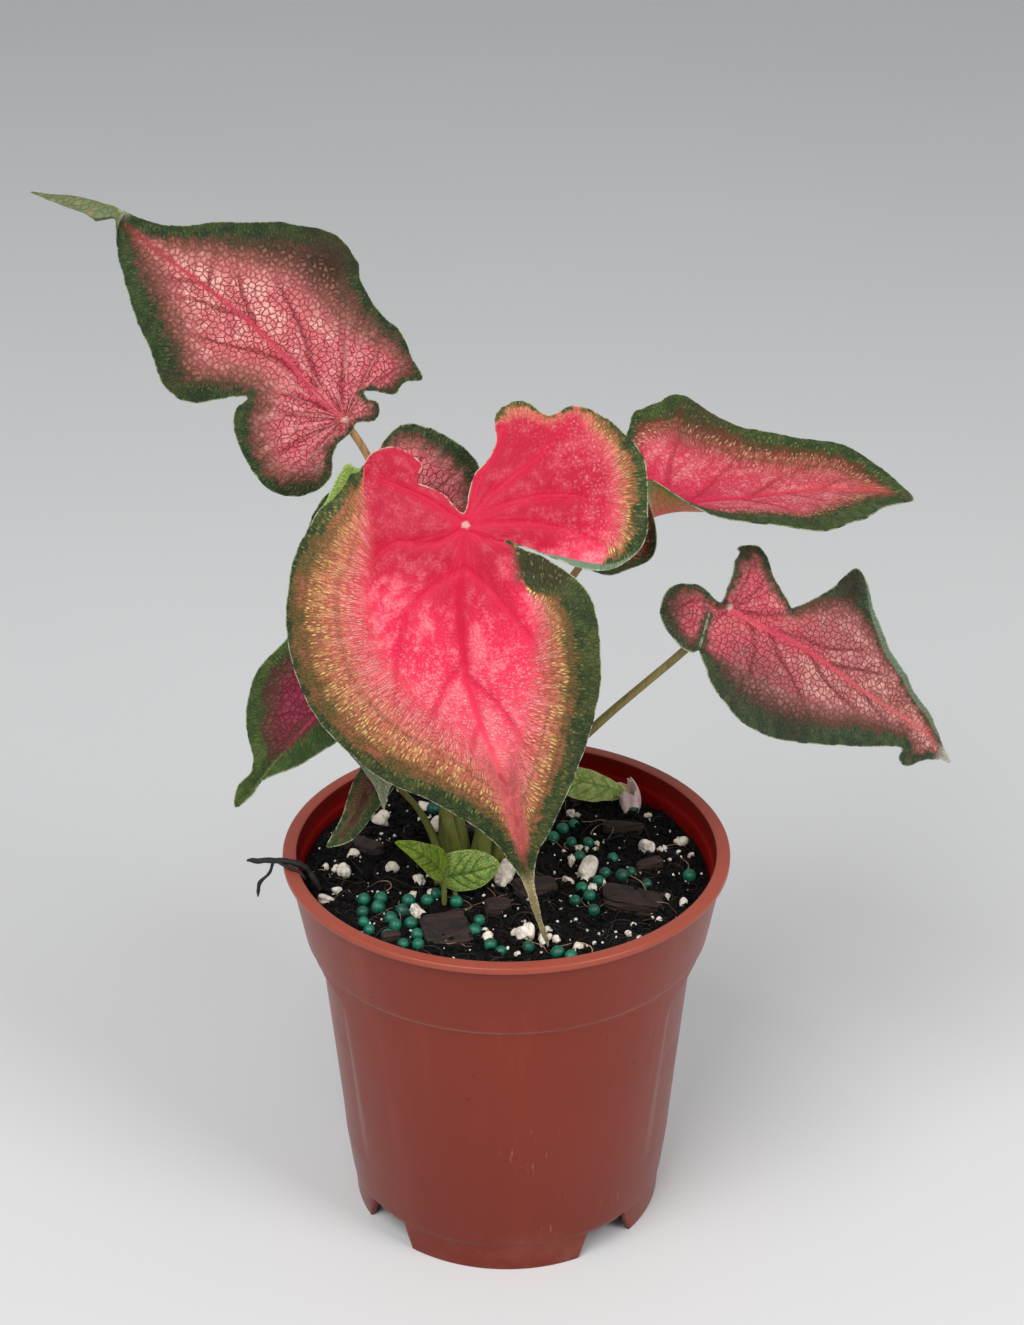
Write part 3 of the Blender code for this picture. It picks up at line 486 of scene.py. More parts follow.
def ball(rounds):
    """A ball of small triangles, one unit in radius."""
    bm = bmesh.new()
    bmesh.ops.create_icosphere(bm, subdivisions=rounds, radius=1)
    bm.verts.ensure_lookup_table()
    points = np.array([vertex.co[:] for vertex in bm.verts])
    faces = np.array([[vertex.index for vertex in face.verts] for face in bm.faces])
    bm.free()
    return points, faces


def turned(draw, count):
    """Random turns: each from four random numbers made into a unit rotation."""
    w, x, y, z = (q := draw.normal(size=(count, 4))).T / np.linalg.norm(q, axis=1)
    return np.stack([
        1 - 2 * (y * y + z * z), 2 * (x * y - z * w), 2 * (x * z + y * w),
        2 * (x * y + z * w), 1 - 2 * (x * x + z * z), 2 * (y * z - x * w),
        2 * (x * z - y * w), 2 * (y * z + x * w), 1 - 2 * (x * x + y * y),
    ], -1).reshape(-1, 3, 3)


def strewn(shape, places, sizes, turns, rough, seed):
    """Copies of one small shape: each stretched, roughened by smooth random heights, turned and set in place.
    Returns all their points and all their faces."""
    points, faces = shape
    count = len(places)
    bumps = grain(points[None] * 1.3 + np.arange(count)[:, None, None] * 5.3, 1.0, seed)
    lumps = points[None] * sizes[:, None] * (1 + rough * bumps)[..., None]
    spots = np.einsum("nij,npj->npi", turns, lumps) + places[:, None]
    every = faces[None] + (np.arange(count) * len(points))[:, None, None]
    return spots.reshape(-1, 3), [every.reshape(-1, 3)]


def spread_out(draw, count, reach):
    """Random places over the soil, even by area."""
    turn, far = draw.uniform(0, math.tau, count), reach * np.sqrt(draw.uniform(0, 1, count))
    return far * np.cos(turn), far * np.sin(turn)


draw = np.random.default_rng(11)
crumb_x, crumb_y = spread_out(draw, CRUMBS, 53.2)
crumb_size = draw.uniform(0.35, 1.25, (CRUMBS, 1)) * draw.uniform(0.6, 1.3, (CRUMBS, 3))
crumb_place = np.stack([crumb_x, crumb_y, soil_height(crumb_x, crumb_y) + 0.25 * crumb_size[:, 0]], -1)
crumbs = strewn(ball(1), crumb_place, crumb_size, turned(draw, CRUMBS), 0.45, 2)
put_mesh("soil_crumbs", *crumbs, soil_look, "potting_mix", sharp=0)

# The perlite. Puffed white volcanic grit that was mixed into the soil: lumps 3 to 7 mm across that lie on
# it, and many crumbs of it. It is chalky and pitted, with soil in its pits.
SMALL_LUMPS, WHITE_BITS = 60, 420

# The lumps that the photograph shows: across, along and size.
PERLITE = (
    (-34.9, 24.7, 5.3), (-30.8, -0.3, 3.5), (-23.4, -7.5, 3.7), (-43.7, -3.5, 4.7), (-45.4, -1, 3),
    (-44.9, -11.7, 2.8),
    (-47.5, -16.8, 3.8), (-23.6, -22.2, 4.7), (-19.6, 21.3, 4.7), (-16.4, 12, 4.3), (-23, 32.5, 4.3),
    (-1.1, -4.3, 6.4),
    (5.2, -33, 5.6), (9.8, -34.2, 3.6), (13.1, -34.2, 3), (21.8, -1.1, 6), (16.8, -6.2, 3.8), (38.1, 12, 4.8),
    (39.3, 28.1, 2.5), (17.8, 29.9, 3.8), (48, 15.4, 3.2), (43.3, 13.7, 1.7), (46.1, -17.3, 2), (39.9, -24.5, 2.5),
    (19.1, 10, 3.1), (14.3, -21.4, 2.5), (-4.6, -34.2, 2.7), (-30.3, 40.4, 2.5),
)


def chalky():
    """Off-white grit, stained brown in patches, with darker pits."""
    look = Finish("puffed_perlite")
    place = look.place()
    pits = look.cells(place, 700)
    stain = look.clouds(place, 260, 4, 0.65)
    colour = look.coats(
        look.blend(look.fade(stain, 0.42, 0.75) * 0.55, paint(230, 222, 206), paint(158, 138, 112)),
        (look.fade(pits, 0.55, 0.85) * 0.35, paint(92, 80, 70)),
    )
    return look.surface({"Base Color": colour, "Roughness": 0.92, "Normal": look.bump(pits + stain, 0.5, 0.9)})


lumps = np.array(PERLITE, float)
lump_x, lump_y, lump_across = lumps.T
lump_size = [draw.uniform(*span, len(lumps)) for span in ((0.85, 1.15), (0.72, 0.95), (0.62, 0.85))]
lump_size = lumps[:, 2:] / 2 * np.stack(lump_size, -1)
lump_place = np.stack([lump_x, lump_y, bed(lump_x, lump_y) + 0.35 * lump_across - 0.4], -1)
small_x, small_y = spread_out(draw, SMALL_LUMPS, 51)
small_size = draw.uniform(0.7, 1.5, (SMALL_LUMPS, 1)) * draw.uniform(0.7, 1.2, (SMALL_LUMPS, 3))
small_place = np.stack([small_x, small_y, soil_height(small_x, small_y) + 0.5], -1)
bit_x, bit_y = spread_out(draw, WHITE_BITS, 53)
bit_size = draw.uniform(0.22, 0.55, (WHITE_BITS, 1)) * draw.uniform(0.7, 1.3, (WHITE_BITS, 3))
bit_place = np.stack([bit_x, bit_y, soil_height(bit_x, bit_y) + 0.35], -1)
white = joined(
    strewn(ball(3), lump_place, lump_size, turned(draw, len(lumps)), 0.5, 4),
    strewn(ball(2), small_place, small_size, turned(draw, SMALL_LUMPS), 0.42, 6),
    strewn(ball(1), bit_place, bit_size, turned(draw, WHITE_BITS), 0.4, 9),
)
put_mesh("perlite_lumps", *white, chalky(), "potting_mix", sharp=50)

# The feed beads. Coated plant food in round teal-green beads 3 mm across, scattered by hand over the soil and
# sunk a little into it. The coat is smooth and faintly glossy.
MORE_BEADS = 9

# Across and along, as the photograph shows them. A few more lie where the leaves hide the mix.
FEED_BEADS = (
    (-37.5, -18.8), (-33.2, -16.8), (-33.6, -21.4), (-37.6, -23.4), (-37.2, -27.2), (-35.6, -30.6), (-30.2, -26),
    (-27.3, -21.7),
    (-28.8, -29.6), (-25.8, -17.3), (-20.9, -17.3), (-18.8, -14.2), (-24.8, -28.2), (-23, -33.9), (-26.5, -37.6),
    (-22.6, -38.6),
    (-13.3, -17), (-7, -27.9), (-8.2, -32.1), (-4, -37.6), (-1.4, -40.5), (5.7, -38.3), (13.2, -40.5), (16.5, -43),
    (15.4, 21.3), (12.7, 15.2), (22.3, 13.2), (19.8, 6.1), (28.8, 6.9), (26.5, -1.9), (24.6, -5.6), (30.9, -4.4),
    (18.1, -17.6), (21.9, -15.2), (22.9, -20.8), (37.4, -8.2), (49.1, -3.6), (-20.7, 31.1), (18.6, 24.5),
    (-30.6, -33.4),
)


def bead_coat():
    """A thin teal resin coat with a film of soil dust."""
    look = Finish("coated_feed_beads")
    place = look.place()
    tone, dusty = look.clouds(place, 210, 3), look.clouds(place, 900, 4, 0.7)
    colour = look.coats(
        look.blend(look.fade(tone, 0.35, 0.7), paint(2, 70, 54), paint(10, 108, 82)),
        (look.fade(dusty, 0.58, 0.8) * 0.4, paint(30, 40, 34)),
    )
    rough = 0.36 + dusty * 0.2
    return look.surface({"Base Color": colour, "Roughness": rough, "Normal": look.bump(dusty, 0.12, 0.5)})


bead_x, bead_y = np.hstack([np.array(FEED_BEADS).T, spread_out(draw, MORE_BEADS, 50)])
bead_radius = draw.uniform(1.5, 1.85, (len(bead_x), 1)) * np.ones(3)
bead_place = np.stack([bead_x, bead_y, bed(bead_x, bead_y) + draw.uniform(0.5, 1.2, len(bead_x))], -1)
beads = strewn(ball(3), bead_place, bead_radius, turned(draw, len(bead_x)), 0.05, 12)
feed_beads = put_mesh("feed_beads", *beads, bead_coat(), "potting_mix", sharp=0)
feed_beads.data.shade_smooth()

# The bark chips and roots in the mix. Chips of composted bark, dark brown and layered, lie flat on the soil
# or half in it, with thin pale roots and hair-fine black fibres curling between them.
CHIP_THICK = 3.6
PALE_ROOTS, BLACK_FIBRES = 60, 420

# Across, along, length, width and turn in degrees.
BARK_CHIPS = (
    (-15.6, -31, 11.5, 13, 12), (33.8, -14.5, 15.5, 10, -8), (7.4, -9, 11, 8, 20), (-38.9, 8.7, 12, 4.5, -38),
    (32, 21, 11, 2.2, 4),
    (-2.4, -19.5, 7, 4.5, 5), (38.4, 2, 7, 3, 14), (-8, 20, 10, 5, 60), (-29.7, -35, 5, 2.6, 20), (20, 40, 9, 5, 60),
)


def bark_chip(length, width, thick, seed):
    """A flat slab: a ball pushed out towards a box by a steep power, then roughened along its layers."""
    points, faces = ball(4)
    boxy = np.sign(points) * np.abs(points) ** 0.45
    boxy = boxy / np.abs(boxy).max(1, keepdims=True) ** 0.25
    slab = boxy * (length / 2, width / 2, thick / 2)
    layers = 0.16 * grain(slab * (0.25, 1.1, 2.4), 1.0, seed)
    chipped = 1 + 0.10 * grain(slab, 3.2, seed + 1) + layers
    return slab * chipped[:, None], faces


def bark_brown():
    """Dark brown in thin level layers."""
    look = Finish("composted_bark")
    place = look.place()
    layers = look.clouds(look.stretched(place, 90, 300, 1400), 1.0, 4, 0.6)
    colour = look.blend(look.fade(layers, 0.3, 0.75), paint(14, 9, 8), paint(58, 34, 24))
    relief = look.bump(layers + look.clouds(place, 900, 3) * 0.4, 0.5, 0.8)
    return look.surface({"Base Color": colour, "Roughness": 0.78, "Normal": relief})


chips = []
for number, (x, y, length, width, turn) in enumerate(BARK_CHIPS):
    points, faces = bark_chip(length, width, CHIP_THICK, 20 + number)
    c, s = math.cos(math.radians(turn)), math.sin(math.radians(turn))
    tilt = (-0.10, 0.12, 0.05)[number % 3]
    spin = np.array(((c, -s, 0), (s, c, 0), (0, 0, 1))) @ np.array(((1, 0, tilt), (0, 1, tilt), (-tilt, -tilt, 1)))
    points = points @ spin.T + (x, y, float(bed(x, y)) + 0.7)
    chips.append((points, [faces]))
put_mesh("bark_chips", *joined(*chips), bark_brown(), "potting_mix", sharp=45)


def path_frame(path, hint):
    """Along a path: its heading at each point, then a direction square to the heading and to a hint, and a third
    square to both."""
    along = np.gradient(path, axis=-2)
    along /= np.linalg.norm(along, axis=-1, keepdims=True)
    side = np.cross(along, hint)
    side /= np.linalg.norm(side, axis=-1, keepdims=True)
    return along, side, np.cross(along, side)


def strands(draw, count, length, thick, lift, reach):
    """Many hair-thin roots at once: each starts at a random place and heading, bends by a random amount that
    itself changes along it, and rises and dips over the soil. Every path is worked out in one array."""
    steps = 12
    x, y = spread_out(draw, count, reach)
    size = draw.uniform(0.5, 1.3, count) * length / steps
    heading = draw.uniform(0, math.tau, (count, 1)) + np.cumsum(
        draw.normal(0, 0.25, (count, 1)) + draw.normal(0, 0.28, (count, steps)), 1
    )
    px = x[:, None] + np.cumsum(np.cos(heading) * size[:, None], 1)
    py = y[:, None] + np.cumsum(np.sin(heading) * size[:, None], 1)
    # Those that would run past the wall are drawn in to it.
    shrink = np.minimum(1, 52.6 / np.maximum(np.hypot(px, py), 1))
    px, py = px * shrink, py * shrink
    hop = np.sin(np.linspace(0, math.pi, steps))[None] * draw.uniform(0, lift, (count, 1))
    pz = bed(px, py) + 0.45 + hop + 0.3 * grain(np.stack([px, py], -1), 3.0, 31)
    paths = np.stack([px, py, pz], -1)
    _, side, other = path_frame(paths, (0.05, 0.08, 1.0))
    turn = np.arange(4)[:, None] * math.tau / 4
    taper = (1 - 0.75 * np.linspace(0, 1, steps))[None, :, None, None]
    radius = thick * taper * draw.uniform(0.6, 1.2, (count, 1, 1, 1))
    rings = paths[:, :, None] + radius * (np.cos(turn) * side[:, :, None] + np.sin(turn) * other[:, :, None])
    caps = np.array(((3, 2, 1, 0), (4 * steps - 4, 4 * steps - 3, 4 * steps - 2, 4 * steps - 1)))
    one_root = np.vstack([ring_faces(steps, 4), caps])
    faces = (one_root[None] + (np.arange(count) * 4 * steps)[:, None, None]).reshape(-1, 4)
    return rings.reshape(-1, 3), [faces]


def root_skin(name, dark, light):
    """A dull skin in two tones."""
    look = Finish(name)
    tone = look.clouds(look.place(), 240, 3)
    return look.surface({"Base Color": look.blend(look.fade(tone, 0.35, 0.7), dark, light), "Roughness": 0.7})


for name, count, length, thick, lift, reach, dark, light in (
    ("pale_roots", PALE_ROOTS, 13, 0.17, 1.6, 48, paint(96, 72, 52), paint(176, 146, 112)),
    ("black_fibres", BLACK_FIBRES, 9, 0.12, 1.4, 51, paint(16, 11, 9), paint(58, 40, 30)),
):
    roots = strands(draw, count, length, thick, lift, reach)
    put_mesh(name, *roots, root_skin(name, dark, light), "potting_mix", sharp=60)

# The tuber. A flattened, faintly ribbed brown ball from which all the stems rise. The soil covers it, so its
# own solid stays and only takes a scaly skin.


def scaly_skin():
    """Brown in thin level scales."""
    look = Finish("scaly_tuber_skin")
    place = look.place()
    scales = look.clouds(look.stretched(place, 120, 120, 520), 1.0, 4)
    colour = look.blend(look.fade(scales, 0.35, 0.7), paint(70, 46, 32), paint(132, 94, 66))
    return look.surface({"Base Color": colour, "Roughness": 0.85, "Normal": look.bump(scales, 0.5, 0.8)})


tuber = bpy.data.objects["tuber"]
tuber_skin = scaly_skin()
for place_in_list in range(len(tuber.data.materials)):
    tuber.data.materials[place_in_list] = tuber_skin

# The stems. Round fleshy leaf stalks that rise from the tuber, thick and olive where they clasp each other at
# the soil, thinner and browner towards the blade, with fine darker streaks along them.
TUBER_PLACE = np.array((-10.5, 2.5, 85.5))
TUBER_SIZE = (14.5, 6.5)


def tube(path, radii, sides, ridges=0.0):
    """A closed round tube along a path: at each point a ring of the given radius, square to the path, with
    five faint ridges if asked for, and a point at each end. Returns points and faces."""
    along, side, other = path_frame(path, (0.31, 0.93, 0.17))
    turn = np.arange(sides) * math.tau / sides
    reach = radii[:, None] * (1 + ridges * np.cos(turn * 5)[None])
    rings = path[:, None] + (reach * np.cos(turn))[..., None] * side[:, None]
    rings = rings + (reach * np.sin(turn))[..., None] * other[:, None]
    ends = path[0] - along[0] * radii[0] * 0.3, path[-1] + along[-1] * radii[-1] * 0.3
    points = np.vstack([rings.reshape(-1, 3), *ends])
    faces = [
        ring_faces(len(path), sides),
        pole_faces(0, sides, len(points) - 2, False),
        pole_faces((len(path) - 1) * sides, sides, len(points) - 1, True),
    ]
    return points, faces


def even_curve(points, spacing, closed=False):
    """A smooth curve through given points. Each point's heading comes from its two neighbours, weighted by
    the roots of their distances so that short and long spans don't overshoot; the run between two points is
    the cubic with those headings, and the whole is then stepped off evenly by length."""
    at = np.asarray(points, float)
    if closed:
        padded = np.vstack([at[-1:], at, at[:2]])
    else:
        padded = np.vstack([2 * at[0] - at[1], at, 2 * at[-1] - at[-2]])
    knots = np.linalg.norm(np.diff(padded[:, :3], axis=0), axis=1) ** 0.5 + 1e-9
    before, after = knots[:-1, None], knots[1:, None]
    heading = (padded[1:-1] - padded[:-2]) / before - (padded[2:] - padded[:-2]) / (before + after)
    heading = heading + (padded[2:] - padded[1:-1]) / after
    spans = len(padded) - 3
    span, u = after[:spans][:, None], np.linspace(0, 1, 24, endpoint=False)[None, :, None]
    start, end = padded[1 : spans + 1][:, None], padded[2 : spans + 2][:, None]
    lead, trail = heading[:spans][:, None] * span, heading[1 : spans + 1][:, None] * span
    run = (2 * u**3 - 3 * u**2 + 1) * start + (u**3 - 2 * u**2 + u) * lead
    run = run + (3 * u**2 - 2 * u**3) * end + (u**3 - u**2) * trail
    dense = np.vstack([run.reshape(-1, at.shape[1]), at[:1] if closed else at[-1:]])
    far = np.append(0, np.cumsum(np.linalg.norm(np.diff(dense[:, :2] if closed else dense, axis=0), axis=1)))
    count = max(3, round(far[-1] / spacing) + 1)
    steps = np.linspace(0, far[-1], count)
    even = np.stack([np.interp(steps, far, dense[:, axis]) for axis in range(at.shape[1])], -1)
    return even[:-1] if closed else even


def leaf_axes(leaf):
    """The join, the blade's across, along and face directions, and the midrib's length."""
    join, tip, face = (np.array(leaf[key], float) for key in ("join", "tip", "face"))
    along = tip - join
    length = np.linalg.norm(along)
    along /= length
    face -= face.dot(along) * along
    face /= np.linalg.norm(face)
    return join, np.cross(face, along), along, face, length


def bell(across, along, x, y, reach):
    """1 at one place, falling off on all sides as a bell curve of this reach."""
    return np.exp(-((across - x) ** 2 + (along - y) ** 2) / reach**2)


def leaf_surface(leaf, across, along, lift=0.0):
    """Places on the blade's middle surface. It rises off its flat plane by an arch along the midrib, a droop of
    the lobes behind the join, a fold and a cup to each side; a twist winds the tail round its own axis; then
    each swell pushes the blade near one place by a bell curve."""
    join, across_way, along_way, face, length = leaf_axes(leaf)
    across, along = np.asarray(across, float), np.asarray(along, float)
    part = np.clip(along / length, 0, 1)
    off = across - leaf.get("bow", 0) * 4 * part * (1 - part)
    slope = 4 * leaf["arch"] / length
    rise = np.where(along > 0, slope * along * (1 - along / length), slope * along - leaf["lobe"] * along**2)
    fold = np.where(off > 0, *leaf.get("folds", (0, 0)))
    rise = rise + leaf.get("cup", 0) * off**2 + fold * (np.sqrt(off**2 + 9) - 3) + lift
    if "twist" in leaf:
        start, end, turns, axis = leaf["twist"]
        centre = np.interp(along, *np.array(axis).T[::-1])
        angle = turns * math.tau * smoothstep(start, end, along + 0.8 * (across - centre))
        aside = across - centre
        across, rise = centre + aside * np.cos(angle), rise + aside * np.sin(angle)
    spot = np.stack([across, along, rise], -1)
    for x, y, reach, *shift in leaf.get("swells", ()):
        spot = spot + bell(across, along, x, y, reach)[..., None] * np.array(shift, float)
    return join + spot @ np.array([across_way, along_way, face])


def stalk_green():
    """Olive at the soil, turning brown towards the blade, with dark streaks along it and pale blotches."""
    look = Finish("olive_leaf_stalk")
    fade = look.fade
    place = look.place()
    _, _, z = look.apart(place)
    streaks = look.clouds(look.stretched(place, 900, 900, 60), 1.0, 3)
    colour = look.coats(
        look.blend(fade(z, 0.10, 0.17), paint(104, 112, 50), paint(126, 116, 62)),
        (fade(z, 0.16, 0.21), paint(172, 130, 86)),
        (fade(streaks, 0.48, 0.75) * 0.55, paint(84, 58, 34)),
        (fade(look.clouds(place, 160, 3), 0.55, 0.75) * 0.35, paint(150, 160, 92)),
    )
    relief = look.bump(streaks + look.clouds(place, 900, 2) * 0.3, 0.12, 0.6)
    return look.surface({"Base Color": colour, "Roughness": 0.42, "Normal": relief})


stalk_look = stalk_green()


def make_stalk(name, leaf, route, thick, thin, stands_for, clasp=0.35):
    """A stalk along a smooth curve from the tuber to the underside of its blade. It tapers over the first three
    quarters of its length, swells where it clasps the others in the soil and narrows where it runs into the rib."""
    join = leaf_axes(leaf)[0]
    near = leaf_surface(leaf, [0.2, -0.2, 0, 0], [0, 0, 0.2, -0.2])
    face = np.cross(near[2] - near[3], near[0] - near[1])
    face /= np.linalg.norm(face)
    # A leaf's stalk starts on the tuber, and a seedling's thin one in the mix.
    start = np.array(route[0], float)
    if thick > 1.2:
        start[:2] = TUBER_PLACE[:2] + 0.86 * (start[:2] - TUBER_PLACE[:2])
        spread = ((start[:2] - TUBER_PLACE[:2]) ** 2).sum() / TUBER_SIZE[0] ** 2
        start[2] = TUBER_PLACE[2] + TUBER_SIZE[1] * math.sqrt(max(0.0, 1 - spread)) + 1.0
    else:
        start[2] = 97.5
    path = even_curve([start, *route, join - face * (1.0 if thin > 0.7 else 0.55)], 1.6)
    part = np.linspace(0, 1, len(path))
    radii = thick + (thin - thick) * smoothstep(0, 0.75, part)
    from_end = np.linalg.norm(path - path[-1], axis=1)
    swelling = 1 + clasp * np.exp(-(((path[:, 2] - SOIL_LEVEL) / 12.0) ** 2))
    radii = radii * swelling * (0.5 + 0.5 * smoothstep(0, 4.5, from_end))
    points, faces = tube(path, radii, 18, ridges=0.02)
    put_mesh(name, points, faces, stalk_look, "olive_stem", stands_for, sharp=60)


# The leaf blades. Thin, soft and satin, each one sheet with a sunken midrib and side veins that run out from
# the join. Pink in the middle, through brown with small painted gold glints, to a green margin with a painted
# highlight along its edge.
BLADE_THICKNESS = 0.42
# The rows of a blade's lattice stand this part of its spacing apart, and a blade with no tail has it past any tip.
ROW_STEP = 0.866
NO_TAIL = (900, 901, 902)


def nearest_on(points, line, closed=False):
    """Each point's distance to a line of short runs, and how far along the line its nearest place is: the
    nearest corner is found first, then the runs on both sides of it are tried."""
    squares = (points**2).sum(1)[:, None] + (line**2).sum(1)[None] - 2 * points @ line.T
    corner = squares.argmin(1)
    count = len(line)
    run = np.linalg.norm(np.roll(line, -1, 0) - line, axis=1)
    far = np.append(0, np.cumsum(run))[:-1]
    best = np.full(len(points), 1e9)
    along = np.zeros(len(points))
    for first in (corner - 1, corner):
        first = first % count if closed else np.clip(first, 0, count - 2)
        a, b = line[first], line[(first + 1) % count]
        step = b - a
        part = np.clip(((points - a) * step).sum(1) / np.maximum((step**2).sum(1), 1e-12), 0, 1)
        gap = np.linalg.norm(points - a - part[:, None] * step, axis=1)
        better = gap < best
        best = np.where(better, gap, best)
        along = np.where(better, far[first] + part * run[first], along)
    return best, along


def inside(points, outline):
    """Which points lie inside a closed outline, by whether an odd number of its runs lie to their right."""
    ahead = np.roll(outline, -1, axis=0)
    odd = np.zeros(len(points), bool)
    x, y = points[:, :1], points[:, 1:]
    for block in np.array_split(np.arange(len(outline)), 12):
        a, b = outline[block], ahead[block]
        crosses = (a[:, 1][None] > y) != (b[:, 1][None] > y)
        drop = np.where(b[:, 1] == a[:, 1], 1e-9, b[:, 1] - a[:, 1])
        odd ^= (crosses & (x < (b[:, 0] - a[:, 0]) * (y - a[:, 1]) / drop + a[:, 0])).sum(1) % 2 == 1
    return odd


def flat_sheet(leaf, lines, spacing):
    """A blade in the flat: its outline, a little ragged, a lattice of points inside it and points along its vein
    lines, joined by triangles. An outline's rows hold across, along, and the widths of the green border, the gold
    band and the curl. Returns points, triangles, the outline and those widths along it."""
    table = np.array([(*row, *(2.0, 2.0, 0.0)[len(row) - 2 :]) for row in leaf["outline"]], float)
    rim_line = even_curve(table, spacing, closed=True)
    outline, widths = rim_line[:, :2], rim_line[:, 2:]
    outward = np.roll(outline, 1, 0) - np.roll(outline, -1, 0)
    outward = np.stack([-outward[:, 1], outward[:, 0]], -1)
    outward = outward / np.maximum(np.linalg.norm(outward, axis=1), 1e-9)[:, None]
    nicks = grain(outline + 40, 2.3, 15) + 0.6 * grain(outline, 0.9, 16)
    outline = outline + outward * (leaf.get("ragged", 0.12) * nicks)[:, None]
    low, high = outline.min(0) - 1, outline.max(0) + 1
    rows = np.arange(low[1], high[1], spacing * ROW_STEP)[:, None]
    columns = np.arange(low[0], high[0], spacing)[None] + spacing / 2 * (np.arange(len(rows)) % 2)[:, None]
    lattice = np.stack([columns, np.broadcast_to(rows, columns.shape)], -1).reshape(-1, 2)
    lattice = lattice[inside(lattice, outline)]
    on_veins = np.vstack([line[inside(line, outline)] for line in lines])
    _, kept = np.unique(np.round(on_veins / (spacing * 0.6)), axis=0, return_index=True)
    on_veins = on_veins[np.sort(kept)]
    on_veins = on_veins[nearest_on(on_veins, outline, True)[0] > spacing * 0.45]
    crowd = np.concatenate([
        ((part[:, None] - on_veins[None]) ** 2).sum(-1).min(1) for part in np.array_split(lattice, 20)
    ])
    clear = (crowd > (spacing * 0.5) ** 2) & (nearest_on(lattice, outline, True)[0] > spacing * 0.45)
    flat = np.vstack([outline, on_veins, lattice[clear]])
    count = len(outline)
    rim_runs = [(i, (i + 1) % count) for i in range(count)]
    flat, _, faces, *_ = geometry.delaunay_2d_cdt(
        [tuple(p) for p in flat.tolist()], rim_runs, [list(range(count))], 1, 1e-6
    )
    return np.array([p[:] for p in flat]), np.array(faces), outline, widths


